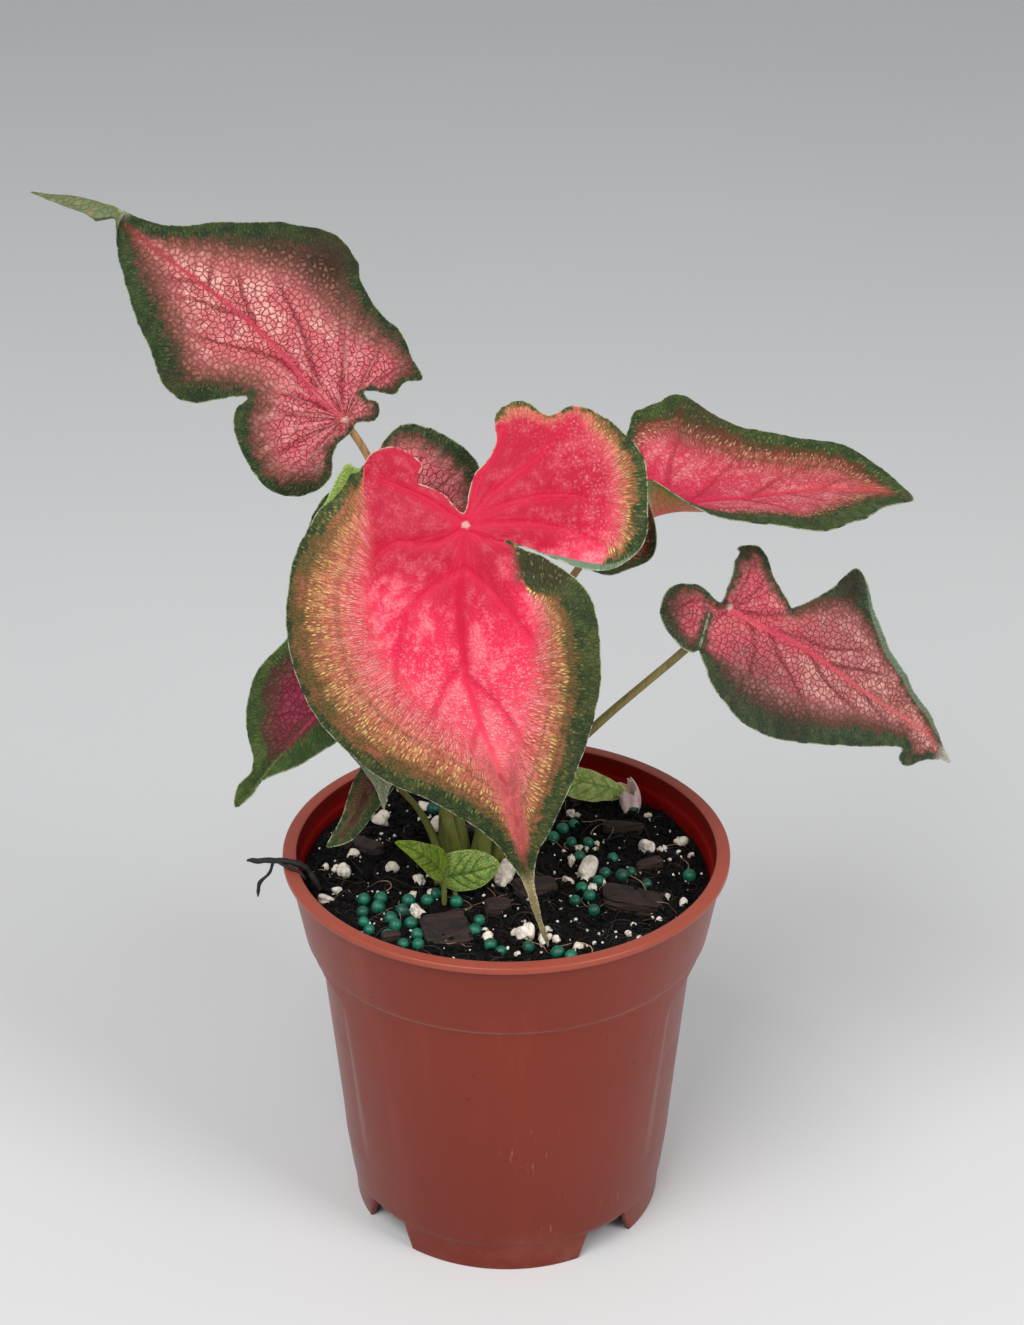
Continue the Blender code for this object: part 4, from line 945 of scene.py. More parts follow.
def make_blade(name, leaf, veins, looks, slot_name, stands_for, spacing=0.8):
    """One leaf blade as a closed thin sheet. Its flat sheet is set on the leaf's surface, puffed up between the
    veins, rippled at its margin and turned up where the margin curls. Each point keeps its distances to the
    margin, the green border, the curl and the veins, and how dull and how far into the tail it is."""
    lines = [even_curve(line, spacing) for line, *_ in veins]
    flat, faces, outline, widths = flat_sheet(leaf, lines, spacing)
    rim, rim_at = nearest_on(flat, outline, True)
    border, rim_way = np.zeros((len(flat), 3)), np.zeros(len(flat))
    run_on = np.append(0, np.cumsum(np.linalg.norm(np.diff(outline, axis=0), axis=1)))
    for block in np.array_split(np.arange(len(flat)), 8):
        squares = ((flat[block][:, None] - outline[None]) ** 2).sum(-1)
        weight = 1 / (squares + 0.6) ** 2.2
        border[block] = weight @ widths / weight.sum(1)[:, None]
        rim_way[block] = weight**2 @ run_on / (weight**2).sum(1)
    green_width, gold_width, roll_width = border.T
    dull = np.zeros(len(flat))
    for x, y, reach, greener, duller in leaf.get("spots", ()):
        near = bell(*flat.T, x, y, reach)
        green_width, dull = green_width + greener * near, dull + duller * near
    for corners, greener, duller, soft in leaf.get("patches", ()):
        runs = zip(corners, (*corners[1:], corners[0]))
        ring = np.vstack([np.linspace(a, b, 30, endpoint=False) for a, b in runs])
        near = smoothstep(-soft, soft, nearest_on(flat, ring, True)[0] * np.where(inside(flat, ring), 1, -1))
        green_width, dull = green_width + greener * near, dull + duller * near
    start, full, dry = leaf.get("tail", NO_TAIL)
    tail = smoothstep(start, full, flat[:, 1]) + smoothstep(dry, dry + 5, flat[:, 1])
    rib, mid, gap = np.full(len(flat), 9.0), np.full(len(flat), 9.0), np.full(len(flat), 30.0)
    for number, (line, (_, wide, narrow)) in enumerate(zip(lines, veins)):
        away, far = nearest_on(flat, line)
        total = np.linalg.norm(np.diff(line, axis=0), axis=1).sum()
        half = wide + (narrow - wide) * np.clip(far / total, 0, 1)
        gap = np.minimum(gap, away + 0.5 * (1 - half / max(wide, 0.01)))
        if number == 0:
            mid = np.minimum(mid, away / half)
        else:
            rib = np.minimum(rib, away / half)
    puff = leaf["puff"]
    lift = puff * (1 - np.exp(-((gap / 2.4) ** 2))) * smoothstep(0, 3.5, rim)
    lift = lift - 0.30 * puff / 0.4 * np.exp(-((mid * 0.8) ** 2)) - 0.12 * np.exp(-(rib**2))
    lift = lift + 0.10 * puff / 0.4 * grain(flat, 3.1, 22)
    lift = lift + 0.35 * puff / 0.4 * grain(flat, 9.5, 23) * smoothstep(0, 5, rim)
    ripple, wave = leaf["ripple"]
    calm = np.clip(np.abs(flat[:, 1] - leaf_axes(leaf)[4]) / 14, 0, 1) * smoothstep(0, 9, np.hypot(*flat.T))
    lift = lift + ripple * np.sin(rim_at / wave * math.tau) * np.exp(-rim / 5.5) * calm
    lift = lift + 0.8 * roll_width * smoothstep(1, 0, rim / (roll_width + 0.8))
    for x, y, reach, height in leaf.get("lifts", ()):
        lift = lift + height * bell(*flat.T, x, y, reach)
    middle = leaf_surface(leaf, flat[:, 0], flat[:, 1], lift)
    normals = np.zeros_like(middle)
    turn = np.cross(middle[faces[:, 1]] - middle[faces[:, 0]], middle[faces[:, 2]] - middle[faces[:, 0]])
    for corner in range(3):
        np.add.at(normals, faces[:, corner], turn)
    normals /= np.linalg.norm(normals, axis=1)[:, None] + 1e-12
    aside, near, ahead = leaf_surface(leaf, np.array([1.0, 0, 0]), np.array([20.0, 20.0, 21.0]))
    there = nearest_on(flat, np.array([[0, 20.0], [0, 20.1]]))[0].argmin()
    if normals[there] @ np.cross(ahead - near, aside - near) < 0:
        faces, normals = faces[:, ::-1], -normals
    thin = BLADE_THICKNESS / 2 * (0.45 + 0.55 * smoothstep(0, 1.2, rim))[:, None]
    stands = (0.55 * np.exp(-(mid**2)) + 0.22 * np.exp(-(rib**2)))[:, None] * smoothstep(0.2, 3.0, rim)[:, None]
    points = np.vstack([middle + normals * thin, middle - normals * (thin + stands)])
    total = len(flat)
    runs = np.concatenate([faces[:, [0, 1]], faces[:, [1, 2]], faces[:, [2, 0]]])
    codes, back = runs[:, 0] * total + runs[:, 1], runs[:, 1] * total + runs[:, 0]
    a, b = runs[~np.isin(codes, back)].T
    wall = np.vstack([np.stack([b, a, total + a], -1), np.stack([b, total + a, total + b], -1)])
    which = np.concatenate([np.zeros(len(faces)), np.ones(len(faces)), np.zeros(len(wall))]).astype(np.int32)
    mesh = put_mesh(
        name, points, [faces, faces[:, ::-1] + total, wall], looks[0], slot_name, stands_for,
        sharp=55, looks=looks[1:], which_look=which,
    ).data
    kept = {
        "rim": rim, "border": rim - green_width, "gold": gold_width, "mid": mid, "rib": rib,
        "dull": dull, "curl": roll_width - rim, "tail": tail,
    }
    for key, values in kept.items():
        mesh.attributes.new(key, "FLOAT", "POINT").data.foreach_set("value", np.tile(values, 2).astype(np.float32))
    corners = np.empty(len(mesh.loops), np.int32)
    mesh.loops.foreach_get("vertex_index", corners)
    for key, pair in {"leaf": flat / 100, "flow": np.stack([rim_way, rim], -1) / 100}.items():
        layer = mesh.uv_layers.new(name=key)
        layer.uv.foreach_set("vector", np.tile(pair, (2, 1))[corners].astype(np.float32).ravel())


def grow(which, leaf, veins, route, thick, thin, finishes, slot_name, spacing=0.8):
    """One leaf on its stalk, each in the place of the solid of its name."""
    make_stalk("stalk_" + which, leaf, route, thick, thin, ("stem_" + which,))
    make_blade("blade_" + which, leaf, veins, finishes, slot_name, ("leaf_" + which,), spacing)


def blade_upper(
    name, heart, field, far, pale, vein_top, vein, branch, net, tan, brown, olive, gold, green, green_dark, dusk,
    back,
    silver, tail, thread, net_share, gold_share, pale_share, ray_share, streak_share,
):
    """The painted upper side. From the join outwards: the heart colour, the field colour with paler blotches,
    darker bands over the veins and nets of fine veins; then tan, brown and olive with painted gold glints, highlights
    that stand between vein lines which run out to the rim; then the green border and a painted highlight along the
    edge."""
    look = Finish(name, flat=True)
    fade, blend, clouds, cells = look.fade, look.blend, look.clouds, look.cells
    flat, flow = look.leaf_map("leaf"), look.leaf_map("flow")
    rim, border, gold_width, mid, rib, dull, curl, tail_part = look.marks(
        "rim", "border", "gold", "mid", "rib", "dull", "curl", "tail"
    )
    from_join = look.length(flat) * 100
    x, y, _ = look.apart(flat)
    plain = 1 - net_share
    wander = clouds(flat, 34, 4, 0.65)
    broad = clouds(flat, 9, 3, 0.6)
    grainy = clouds(flat, 150, 4, 0.65)

    # The nets of fine veins, and near the margin the ladder of lines that run out to the rim.
    bent = look.shifted(flat, wander.output(1), 0.012)
    net_cells = cells(bent, 66, "DISTANCE_TO_EDGE")
    cell_tone = cells(bent, 66).output("Color")
    fine_lines = look.edges(bent, 150, 0.13, 0.03)
    ladder = look.shifted(look.shifted(look.stretched(flow, 118, 50, 1), broad.output(1), 1.6), flat, 9)
    rungs = look.edges(ladder, 1.0, 0.12, 0.02)
    rung_cell = cells(ladder, 1.0)
    rung_tone = rung_cell.output("Color")
    ribs = clouds(look.shifted(look.stretched(flow, 78, 15, 1), wander.output(1), 1.2), 1.0, 3, 0.6)
    outer = fade(border - gold_width * 1.4 + wander * 4, 3.4, 1.4) * fade(gold_width, 1.5, 3.0)
    outer = outer * fade(mid, 3.0, 7.0) * (1.0 if net_share < 0.5 else 0.2)
    lines = fade(net_cells, 0.13, 0.04) * (1 - outer) + rungs * outer

    # The middle of the blade, with small blisters in its lower half whose tops take a painted highlight.
    lobes = fade(y, 0.16, -0.02)
    # The heart colour reaches further over the lobes: partly their own deeper crimson, partly painted shade where
    # they turn from the light.
    near_heart = fade(from_join * (1 - lobes * 0.78) + broad * 16, 42, 12)
    off_veins = fade(rib, 0.9, 2.6) * fade(mid, 1.0, 2.6) * (1 - near_heart * 0.8)
    patches = fade(broad * 0.5 + wander * 0.5, 0.44, 0.60)
    cell_light = fade(net_cells, 0.08, 0.42)
    mottled = fade(grainy + (wander - 0.5) * 0.5, 0.46, 0.68)
    blister = cells(look.shifted(flat, wander.output(1), 0.02), 104)
    blister_tone = blister.output("Color")
    raised_highlit = fade(blister, 0.42, 0.12) * (blister_tone > 0.30)
    low_half = fade(from_join + wander * 24, 30, 66) * fade(mid, 0.8, 1.6)
    halo = fade(mid, 4.5, 1.0) * fade(from_join, 50, 20) + fade(rib, 4.5, 1.0) * fade(from_join, 42, 14)
    calm = 1 - near_heart * plain * 0.7
    colour = look.coats(
        field,
        (near_heart, heart),
        (fade(from_join + broad * 20, 38, 86), far),
        (patches * off_veins * (cell_light * net_share + 0.45) * (pale_share * 0.8), pale),
        (mottled * (0.35 + patches * 0.65) * (1 - near_heart * 0.75) * (pale_share * 0.8), pale),
        # Painted highlight on the blister tops.
        (raised_highlit * low_half * (0.25 + blister_tone * 0.6) * plain * 0.8, blend(0.35, pale, (1, 0.93, 0.86))),
        (halo * 0.55, vein_top),
        (fade(rib + wander * 0.8, 3.4, 1.2) * calm * 0.38, branch),
        (fade(rib + wander * 0.5, 1.7, 0.5) * calm * 0.45, branch),
        (lines * net_share, net),
        (fine_lines * (net_share * 0.5), net),
    )

    # The band: the share is 0 at the green border and 1 at the band's inner side. The painted glints stand in clumps.
    edge = border + (wander - 0.5) * 4.2 + (cell_tone - 0.5) * 1.2
    share = edge / (gold_width + 0.3)
    soft = (border + (wander - 0.5) * 1.8) / (gold_width + 0.3)
    in_band = fade(share, 1.75, 0.95)
    shade = blend(0.5, olive, green_dark)
    across = fade(ribs, 0.44, 0.62) * outer * fade(share, 0.10, 0.5) * in_band
    gathered = fade(abs(soft - 0.72), 0.085, 0.02) + fade(abs(soft - 0.20), 0.07, 0.02)
    clumps = fade(clouds(flat, 26, 2), 0.32, 0.50)
    zones = fade(abs(soft - 0.46), 0.27, 0.18) + fade(abs(soft - 1.02), 0.28, 0.20)
    narrow = fade(gold_width, 7, 4) * fade(gold_width, 1.5, 3.5)
    where_lit = zones + narrow * fade(share, 0.0, 0.3) * in_band
    # The painted glints: gold-tinted highlights between the vein lines, where light catches the puckered surface.
    if net_share < 0.5:
        lit = fade(rung_cell, 0.40, 0.16) * (rung_tone > 0.34) * clumps * where_lit
    else:
        lit = fade(net_cells, 0.14, 0.30) * (cell_tone > 0.30) * fade(share, 0.1, 0.4) * in_band
    bright = blend(fade(share, 0.6, 1.1) * 0.75, gold, pale)
    colour = look.coats(
        colour,
        (fade(share, 1.85, 0.9) * 0.72, blend(0.5, field, tan)),
        (fade(share, 1.2, 0.62) * 0.9, tan),
        (fade(share, 0.75, 0.25) * 0.9, brown),
        (fade(share + (broad - 0.5) * 1.2, 0.34, 0.0) * 0.9, olive),
        (in_band * lines * 0.34, blend(fade(share, 0.6, 1.2), shade, brown)),
        (across * 0.45 * gold_share, blend(fade(share, 0.3, 1.1), blend(0.35, gold, tan), pale)),
        (gathered * fade(gold_width, 3, 7) * 0.30, shade),
        (lit * (0.30 + rung_tone * 0.75) * (1 - lobes * 0.68) * gold_share, bright),
    )

    # The green border with painted glints and faint painted sheen, and the dusky tone of older parts with painted
    # glints and sparks.
    glints = fade(rung_cell, 0.30, 0.14) * (rung_tone > 0.40) * fade(edge, -3.5, -0.2) * clumps
    leaf_green = look.coats(
        green_dark,
        (fade(wander * 0.6 + broad * 0.4, 0.40, 0.64), green),
        (fade(broad * 0.4 + wander * 0.6, 0.54, 0.64) * fade(edge, -3.5, 0.0) * 0.7, olive),
        (rungs * 0.30, green_dark),
        (glints * 0.5, blend(0.4, green, gold)),
        # Painted sheen: faint pale grey-green flecks over the green border.
        (fade(grainy, 0.56, 0.74) * 0.16, paint(140, 156, 112)),
    )
    sparks = fade(rung_cell, 0.34, 0.14) * (rung_tone > 0.45) * fade(grainy, 0.44, 0.56)
    dusky = look.coats(
        dusk,
        (fade(grainy, 0.4, 0.7), blend(0.25, dusk, green)),
        (lines * min(0.5, net_share), net),
        (lit * 0.45, gold),
        (sparks * plain * 0.3, blend(0.6, green, gold)),
    )

    # Over all of it: the midrib, the rays round the join, a streak down the lower midrib, the margin that curls over,
    # the tail and a painted highlight along the edge.
    band = fade(mid + wander * 0.3, 1.5, 0.65)
    streak = fade(mid, 6.5, 2.2) * fade(from_join + wander * 12, 52, 78) * fade(border, -1.5, 2.0)
    round_join = look.add("ShaderNodeCombineXYZ", {}, {0: x.maths("ARCTAN2", x, y) * 11, 1: from_join * 0.09})
    rays = fade(clouds(round_join, 1.0, 3), 0.46, 0.70) * fade(from_join, 34, 4)
    colour = look.coats(
        colour,
        (fade(edge, 0.6, -0.5), leaf_green),
        (fade(dull + (wander - 0.5) * 0.5 * fade(dull, 0.0, 0.3), 0.08, 0.92), dusky),
        (band * fade(border, -1.0, 3.0) * 0.92, blend(fade(from_join, 60, 20), vein, vein_top)),
        (band * fade(border, 0.5, -1.5) * 0.6, paint(120, 130, 80)),
        # The streak down the lower midrib: partly the leaf's own coral, partly painted highlight where the blade
        # turns away from the light.
        (streak * streak_share * (0.8 + raised_highlit * 0.2), blend(0.8, pale, paint(250, 108, 104))),
        (rays * ray_share * fade(border, -1.0, 3.0), pale),
        (fade(from_join + wander * 2.4, 2.5, 1.7) * 0.75, paint(208, 176, 162)),
        (fade(curl, 0.05, 0.5), blend(fade(x, -0.05, 0.05), blend(lines * 0.3, back, green), silver)),
        (fade(tail_part, 0.0, 1.0) * 0.92, blend(fade(grainy, 0.4, 0.7) * 0.3, tail, green)),
        (fade(tail_part, 0.2, 1.0) * lines * (net_share * 0.4), paint(200, 208, 176)),
        (fade(tail_part, 1.0, 2.0), thread),
        # Painted highlight: a thin pale line along the edge, as if lit through from behind.
        (fade(rim, 0.36, 0.10) * fade(wander, 0.36, 0.58) * 0.75, paint(184, 190, 160)),
    )
    relief = look.bump(
        lines * (-0.6 * net_share) + fine_lines * (-0.4 * net_share) + grainy * 0.35 + fade(rib, 1.4, 0.4) * -0.3
        + lit * 0.6 - in_band * rungs * 0.35 + raised_highlit * low_half * (plain * 0.9),
        0.36, 0.9,
    )
    return look.surface(
        {"Base Color": colour, "Roughness": 0.42 + grainy * 0.14, "Normal": relief, "Specular IOR Level": 0.2},
        through=(0.10, colour),
    )


def blade_under(name, middle, band, margin, vein):
    """The duller, paler underside: the upper side's colours show through faintly, and the veins stand out."""
    look = Finish(name, flat=True)
    fade = look.fade
    flat = look.leaf_map("leaf")
    border, gold_width, mid, rib = look.marks("border", "gold", "mid", "rib")
    wander = look.clouds(flat, 40, 4, 0.6)
    lines = look.edges(look.shifted(flat, wander.output(1), 0.012), 58, 0.12, 0.03)
    edge = border + (wander - 0.5) * 5
    colour = look.coats(
        middle,
        (fade(edge / (gold_width + 0.5), 1.5, 0.7), band),
        (fade(edge, 1.5, -0.5), margin),
        (fade(wander, 0.5, 0.7) * 0.3, vein),
        (lines * 0.35, band),
        (fade(rib, 1.5, 0.7) * 0.6, vein),
        (fade(mid, 1.3, 0.8) * 0.8, vein),
    )
    relief = look.bump(lines + wander * 0.3, 0.25, 0.8)
    return look.surface(
        {"Base Color": colour, "Roughness": 0.55, "Normal": relief, "Specular IOR Level": 0.3}, through=(0.12, colour)
    )


# The front leaf. The largest and youngest-looking blade, hot pink, which hangs over the pot's front from an
# upright stalk. One lobe stands up at the right behind a slit; the other folds down at the left.
crimson_upper = blade_upper(
    "crimson_blade_upper", heart=paint(174, 0, 44), field=paint(224, 38, 78), far=paint(244, 108, 116),
    pale=paint(255, 156, 162), vein_top=paint(190, 6, 52), vein=paint(244, 60, 92), branch=paint(212, 24, 68),
    net=paint(196, 36, 66), tan=paint(200, 106, 86), brown=paint(144, 90, 58), olive=paint(92, 80, 40),
    gold=paint(236, 206, 122), green=paint(78, 86, 42), green_dark=paint(44, 58, 29), dusk=paint(44, 46, 20),
    back=paint(136, 160, 76), silver=paint(104, 122, 98), tail=paint(196, 178, 130), thread=paint(150, 95, 75),
    net_share=0.04, gold_share=0.85, pale_share=0.55, ray_share=0.04, streak_share=0.95,
)
crimson_under = blade_under(
    "crimson_blade_under", paint(240, 104, 98), paint(206, 140, 92), paint(136, 156, 86), paint(236, 156, 132),
)
front = {
    "join": (-9.8, -27, 214.5), "tip": (6.2, -45, 124.4), "face": (-0.04, -0.93, 0.36),
    "arch": 8, "bow": -4, "lobe": 0.006, "cup": -0.004, "puff": 0.45, "ripple": (0.35, 21.0),
    "outline": (
        (0, -3, 0, 0.5), (-4, -8, 0.2, 1.5), (-10, -12, 0, 1), (-8, -15, 0.2, 1), (-14, -20, 0, 0.8),
        (-20, -19.5, 0.2, 1.5), (-22.5, -16.8, 0.3, 1), (-24, -16.5, 3, 1, 1.5), (-26, -18.3, 3, 1, 3),
        (-29, -15.5, 2.5, 3, 3), (-31.5, -12, 2, 8, 2), (-34, -9, 1.6, 11, 0.5), (-37, -6, 1.4, 13),
        (-43, 2, 1.2, 15), (-46, 10, 1.1, 16), (-48, 19, 1.1, 17), (-46, 37, 1.2, 17), (-37, 52, 2.8, 15),
        (-30, 59, 4, 13), (-21, 65, 4.4, 12), (-9, 76, 4, 9), (-3.4, 87, 3, 4), (-1.7, 93, 3, 1), (-1.1, 100, 3, 0),
        (-0.4, 106, 3, 0), (0.9, 114, 3, 0), (1.4, 112, 3, 0), (0.9, 105.5, 3, 0), (0.9, 99.5, 3, 0), (1.0, 93, 3, 1),
        (3, 85, 3, 3), (7, 79, 3.5, 7), (17, 63, 4.5, 8), (25, 46, 5.5, 9), (27, 36, 6, 9), (27, 22, 7, 9),
        (23, 15.5, 8.5, 8), (18, 11, 8, 4), (11.5, 6.5, 1, 0.4), (17, 9.4, 0.2, 0.3, 0.7), (22, 12.4, 0.2, 0.3, 1.5),
        (27, 15, 0.6, 1.2, 1.9), (33, 16.3, 1.6, 2.5, 1.4), (38, 15, 2.6, 3, 0.8), (42, 12, 3, 4, 0.3),
        (44, 5, 3, 4.4), (45, -7, 2.6, 4.4), (41, -14, 1.4, 4), (36, -19, 0.6, 3), (30, -22, 0.1, 1),
        (24, -21, 0.1, 1), (19, -25, 0.3, 2.5), (14, -25, 0.3, 2.5), (11, -23, 0.3, 2), (10.5, -18, 0.3, 1),
        (8, -14, 0.1, 0.5), (4, -11, 0, 0.3), (2, -7, 0, 0.3),
    ),
    "lifts": ((-27, -11, 5, -2.0), (-23.2, -11, 2.2, 0.8), (13.5, 13, 3, -1.2), (8.5, 14, 3, 0.8)),
    "patches": (
        (((-22.3, -22), (-22.6, -12), (-20.5, -6), (-12, -5), (-2, 0), (1.5, -2), (-1, -9), (-8, -24)), -4, 0, 0.5),
        (((0.5, -3), (3, -4), (7, -9), (11, -14), (13.5, -19), (12.5, -21.5), (8, -21.5), (2, -16)), -3, 0, 0.8),
        (((-24, -17.5), (-22.5, -9), (-19, -2), (-18, 5), (-24, 10), (-36, 5), (-37, -6), (-31, -13), (-28, -17)),
         2.0, 0, 2.5),
        (((8, 2.5), (11.4, 5.9), (17, 9.2), (22, 12.3), (27, 15), (30, 16), (32, 12), (27, 6), (22, 3), (13, -2)),
         -12, -1, 0.4),
        (((11.4, 6.6), (11.5, 22), (4, 22), (4, 5)), -8, 0, 0.5),
        (((9.5, 4.8), (9.6, 14), (13.5, 18), (20, 18), (26, 15), (18, 9)), 5, 0.7, 2.2),
    ),
    "spots": ((22, 38, 13, 0, 0.34), (18, 58, 10, 0, 0.3), (19, 21, 5, 0.5, 0.3)),
    "tail": (87, 95, 109),
}
front_veins = [
    (((0.4, 0.5), (-2.3, 9.5), (-4.6, 19.2), (-5.5, 26.5), (-5.8, 37.8), (-4.1, 49.9), (-1.6, 62.6), (-0.2, 79),
      (-0.3, 88.1)), 1.15, 0.4),
    (((-0.3, 0.8), (-8.2, 2.8), (-17.4, 1.5), (-23.7, 4.7), (-32, 10)), 0.9, 0.4),
    (((-3.3, 10.2), (-9.9, 12.9), (-16.4, 17.4), (-20.6, 25.2), (-23.4, 35.3), (-25, 47)), 0.95, 0.4),
    (((-5.9, 32.1), (-11.3, 36.9), (-15.3, 43.2), (-17.5, 49.8), (-18, 58)), 0.8, 0.35),
    (((-5.0, 48), (-8, 54), (-9.5, 61), (-9.5, 69)), 0.6, 0.3),
    (((-0.9, -1.1), (-8.3, -7.5), (-14.4, -11), (-18.8, -13.3)), 0.8, 0.35),
    (((0.5, 1.8), (6.6, 4.7), (10.1, 5.7)), 0.7, 0.4),
    (((-1.8, 9.6), (2.9, 14.9), (7.3, 22.1), (11.5, 30.4), (12.8, 39.3), (12.5, 50)), 0.95, 0.4),
    (((-5.4, 35.9), (0, 42.7), (4.1, 51.4), (6.5, 60), (7, 68)), 0.8, 0.35),
    (((0.9, -0.8), (8.5, -6.6), (17.7, -11.1), (23, -14.5), (28, -18)), 0.8, 0.35),
    (((0.9, -0.8), (11.7, -3.4), (22.9, -3.1), (33.6, 0.9), (40, 5)), 0.85, 0.35),
    (((1.1, -1.6), (5.2, -9.8), (11.2, -17.4), (14, -22)), 0.7, 0.3),
    (((0.8, 0.1), (12.8, 1.3), (23.4, 5.1), (33, 11)), 0.8, 0.35),
]
grow(
    "front", front, front_veins,
    ((-8, -3.5, 101), (-4, -7, 130), (0.5, -11, 165), (-3, -17, 195), (-8, -21.5, 209)), 2.4, 1.1,
    (crimson_upper, crimson_under), "crimson_blade",
)

# The tall leaf at the back left. An older blade whose rose colour shows between a dark net of fine veins. It
# tilts up and away, its lobes curl at the join, and its tip runs out in a long tail that turns over.
rose_upper = blade_upper(
    "rose_net_blade_upper", heart=paint(216, 96, 108), field=paint(212, 100, 106), far=paint(190, 104, 98),
    pale=paint(250, 190, 176), vein_top=paint(196, 62, 80), vein=paint(190, 58, 78), branch=paint(132, 44, 50),
    net=paint(84, 24, 30), tan=paint(148, 84, 76), brown=paint(104, 62, 50), olive=paint(74, 64, 42),
    gold=paint(176, 128, 106), green=paint(60, 78, 38), green_dark=paint(38, 52, 28), dusk=paint(56, 44, 34),
    back=paint(118, 130, 98), silver=paint(150, 156, 130), tail=paint(158, 166, 134), thread=paint(196, 190, 130),
    net_share=0.72, gold_share=0.4, pale_share=0.85, ray_share=0.35, streak_share=0.2,
)
rose_under = blade_under(
    "rose_blade_under", paint(160, 104, 98), paint(108, 88, 62), paint(98, 112, 72), paint(160, 130, 104),
)
back_left = {
    "join": (-41.2, 20, 223.5), "tip": (-98.9, 42, 269.8), "face": (0.12, -0.78, 0.60),
    "arch": 5, "bow": -2, "lobe": 0.012, "cup": -0.002, "puff": 0.4, "ripple": (0.6, 15.0),
    "twist": (76.4, 79.4, 0.5, ((0.7, 74), (1.0, 79), (2.3, 84.5), (3.6, 88), (5.1, 91.5), (6.7, 95), (8.6, 100))),
    "outline": (
        (0.8, -3.4, 0.3, 1), (-1.4, -2.9, 0.3, 1), (-4.5, -5.4, 0.8, 1.5), (-7.8, -5.2, 1, 2), (-9.4, -2.9, 1, 2),
        (-8, -0.6, 0.6, 1), (-8.5, 1.2, 0.4, 1), (-9.6, 0.4, 0.4, 1), (-11.5, -1.8, 0.8, 1), (-14.6, -5, 1.2, 1.5),
        (-18, -4.6, 1.2, 2), (-22.4, -7.4, 1, 2.5), (-24.5, -2, 1, 3), (-27, 4, 1.2, 5), (-27, 11, 2, 9),
        (-29, 20, 3, 12), (-33, 25, 4.5, 13), (-34, 33, 5, 14), (-31, 40, 5.5, 10), (-17, 56, 4, 7), (-6, 67, 3, 3),
        (-3, 74.5, 3, 2), (-1.8, 79.5, 3, 0), (0, 84.5, 3, 0), (1.6, 88, 3, 0), (3.6, 91.5, 3, 0), (5.6, 95.2, 3, 0),
        (8.4, 99.6, 3, 0), (7.7, 95, 3, 0), (6.6, 91.5, 3, 0), (5.6, 88, 3, 0), (4.6, 84.5, 3, 0), (4.3, 80.5, 3, 0),
        (3.6, 75.5, 3, 2), (8, 70, 3.5, 5), (16, 58, 5, 7), (23, 44, 5, 6), (26, 38, 5, 6), (25, 32, 4.5, 6),
        (20, 27, 3, 6), (13.5, 21.5, 1.5, 4), (18, 21.5, 4, 5), (22, 18.5, 3.5, 5), (25, 12, 2.2, 4), (27, 3, 2, 4),
        (24, -3, 2.5, 4), (18, -7, 2.2, 4), (13, -7, 1.8, 3), (9, -4, 1.2, 2), (5, -3, 0.5, 1),
    ),
    "spots": (
        (-27, 31, 9, 0, 0.8), (-20, 43, 6, 0, 0.45), (-9, -4, 4, 0, 0.5), (20, -3, 6, 0, 0.35), (24, 38, 5, 0, 0.5),
    ),
    "tail": (73, 79, 94),
}
back_left_veins = [
    (((0.2, 0.3), (0.6, 10.2), (-0.7, 21.6), (-1.2, 32), (-0.9, 41.7), (-0.2, 51), (0.3, 60.4), (0.6, 68.1),
      (0.5, 73.6)), 0.95, 0.3),
    (((-0.1, 2.2), (-6.7, 7.1), (-12.3, 11.1), (-17.7, 17.5), (-27.7, 27.3)), 0.55, 0.25),
    (((-1, 10.7), (-7, 19.6), (-10.8, 27.6), (-13.4, 34.9), (-17.2, 43.3)), 0.55, 0.25),
    (((-1.7, 32.5), (-4.2, 37.7), (-8.1, 43.7), (-12.9, 48.9)), 0.5, 0.2),
    (((-0.5, 47.3), (-5.1, 50.4), (-10, 53.3)), 0.4, 0.2),
    (((-0.7, 0.6), (-9.2, 2.7), (-17.6, 5), (-25, 6.4)), 0.5, 0.22),
    (((-1, 0.3), (-11.5, 0.5), (-21.1, -1.3)), 0.45, 0.2),
    (((1.8, 5.1), (4.9, 12.4), (8, 17.7), (10.3, 21.7)), 0.45, 0.25),
    (((-0.1, 18), (2.9, 26.4), (7.4, 34.3), (10.7, 41.2), (13, 46.1)), 0.5, 0.22),
    (((-1.4, 36.2), (1.5, 41.5), (3.8, 47.4), (8.2, 53.4)), 0.45, 0.2),
    (((-0.6, 49.4), (2.7, 54.3), (6.6, 59.8)), 0.4, 0.2),
    (((1.2, 1.5), (7.7, 8.9), (12.4, 14.8), (16.6, 18)), 0.5, 0.22),
    (((2.3, 0.5), (9.9, 3.8), (18.4, 6.3), (24.8, 6.5)), 0.5, 0.22),
    (((2, -0.3), (9.9, -0.3), (17.4, -1), (23.3, -0.2)), 0.45, 0.2),
]
grow(
    "back_left", back_left, back_left_veins,
    ((-12.5, 8.5, 101), (-19, 13, 140), (-28.2, 18.5, 183), (-35, 21, 211)), 2.2, 1.0,
    (rose_upper, rose_under), "rose_net_blade",
)

# The leaf behind the front one. Only its right lobe shows over the front leaf and its tip below it. The
# blade hangs straight down, close behind, with the same dark net as the tall one.


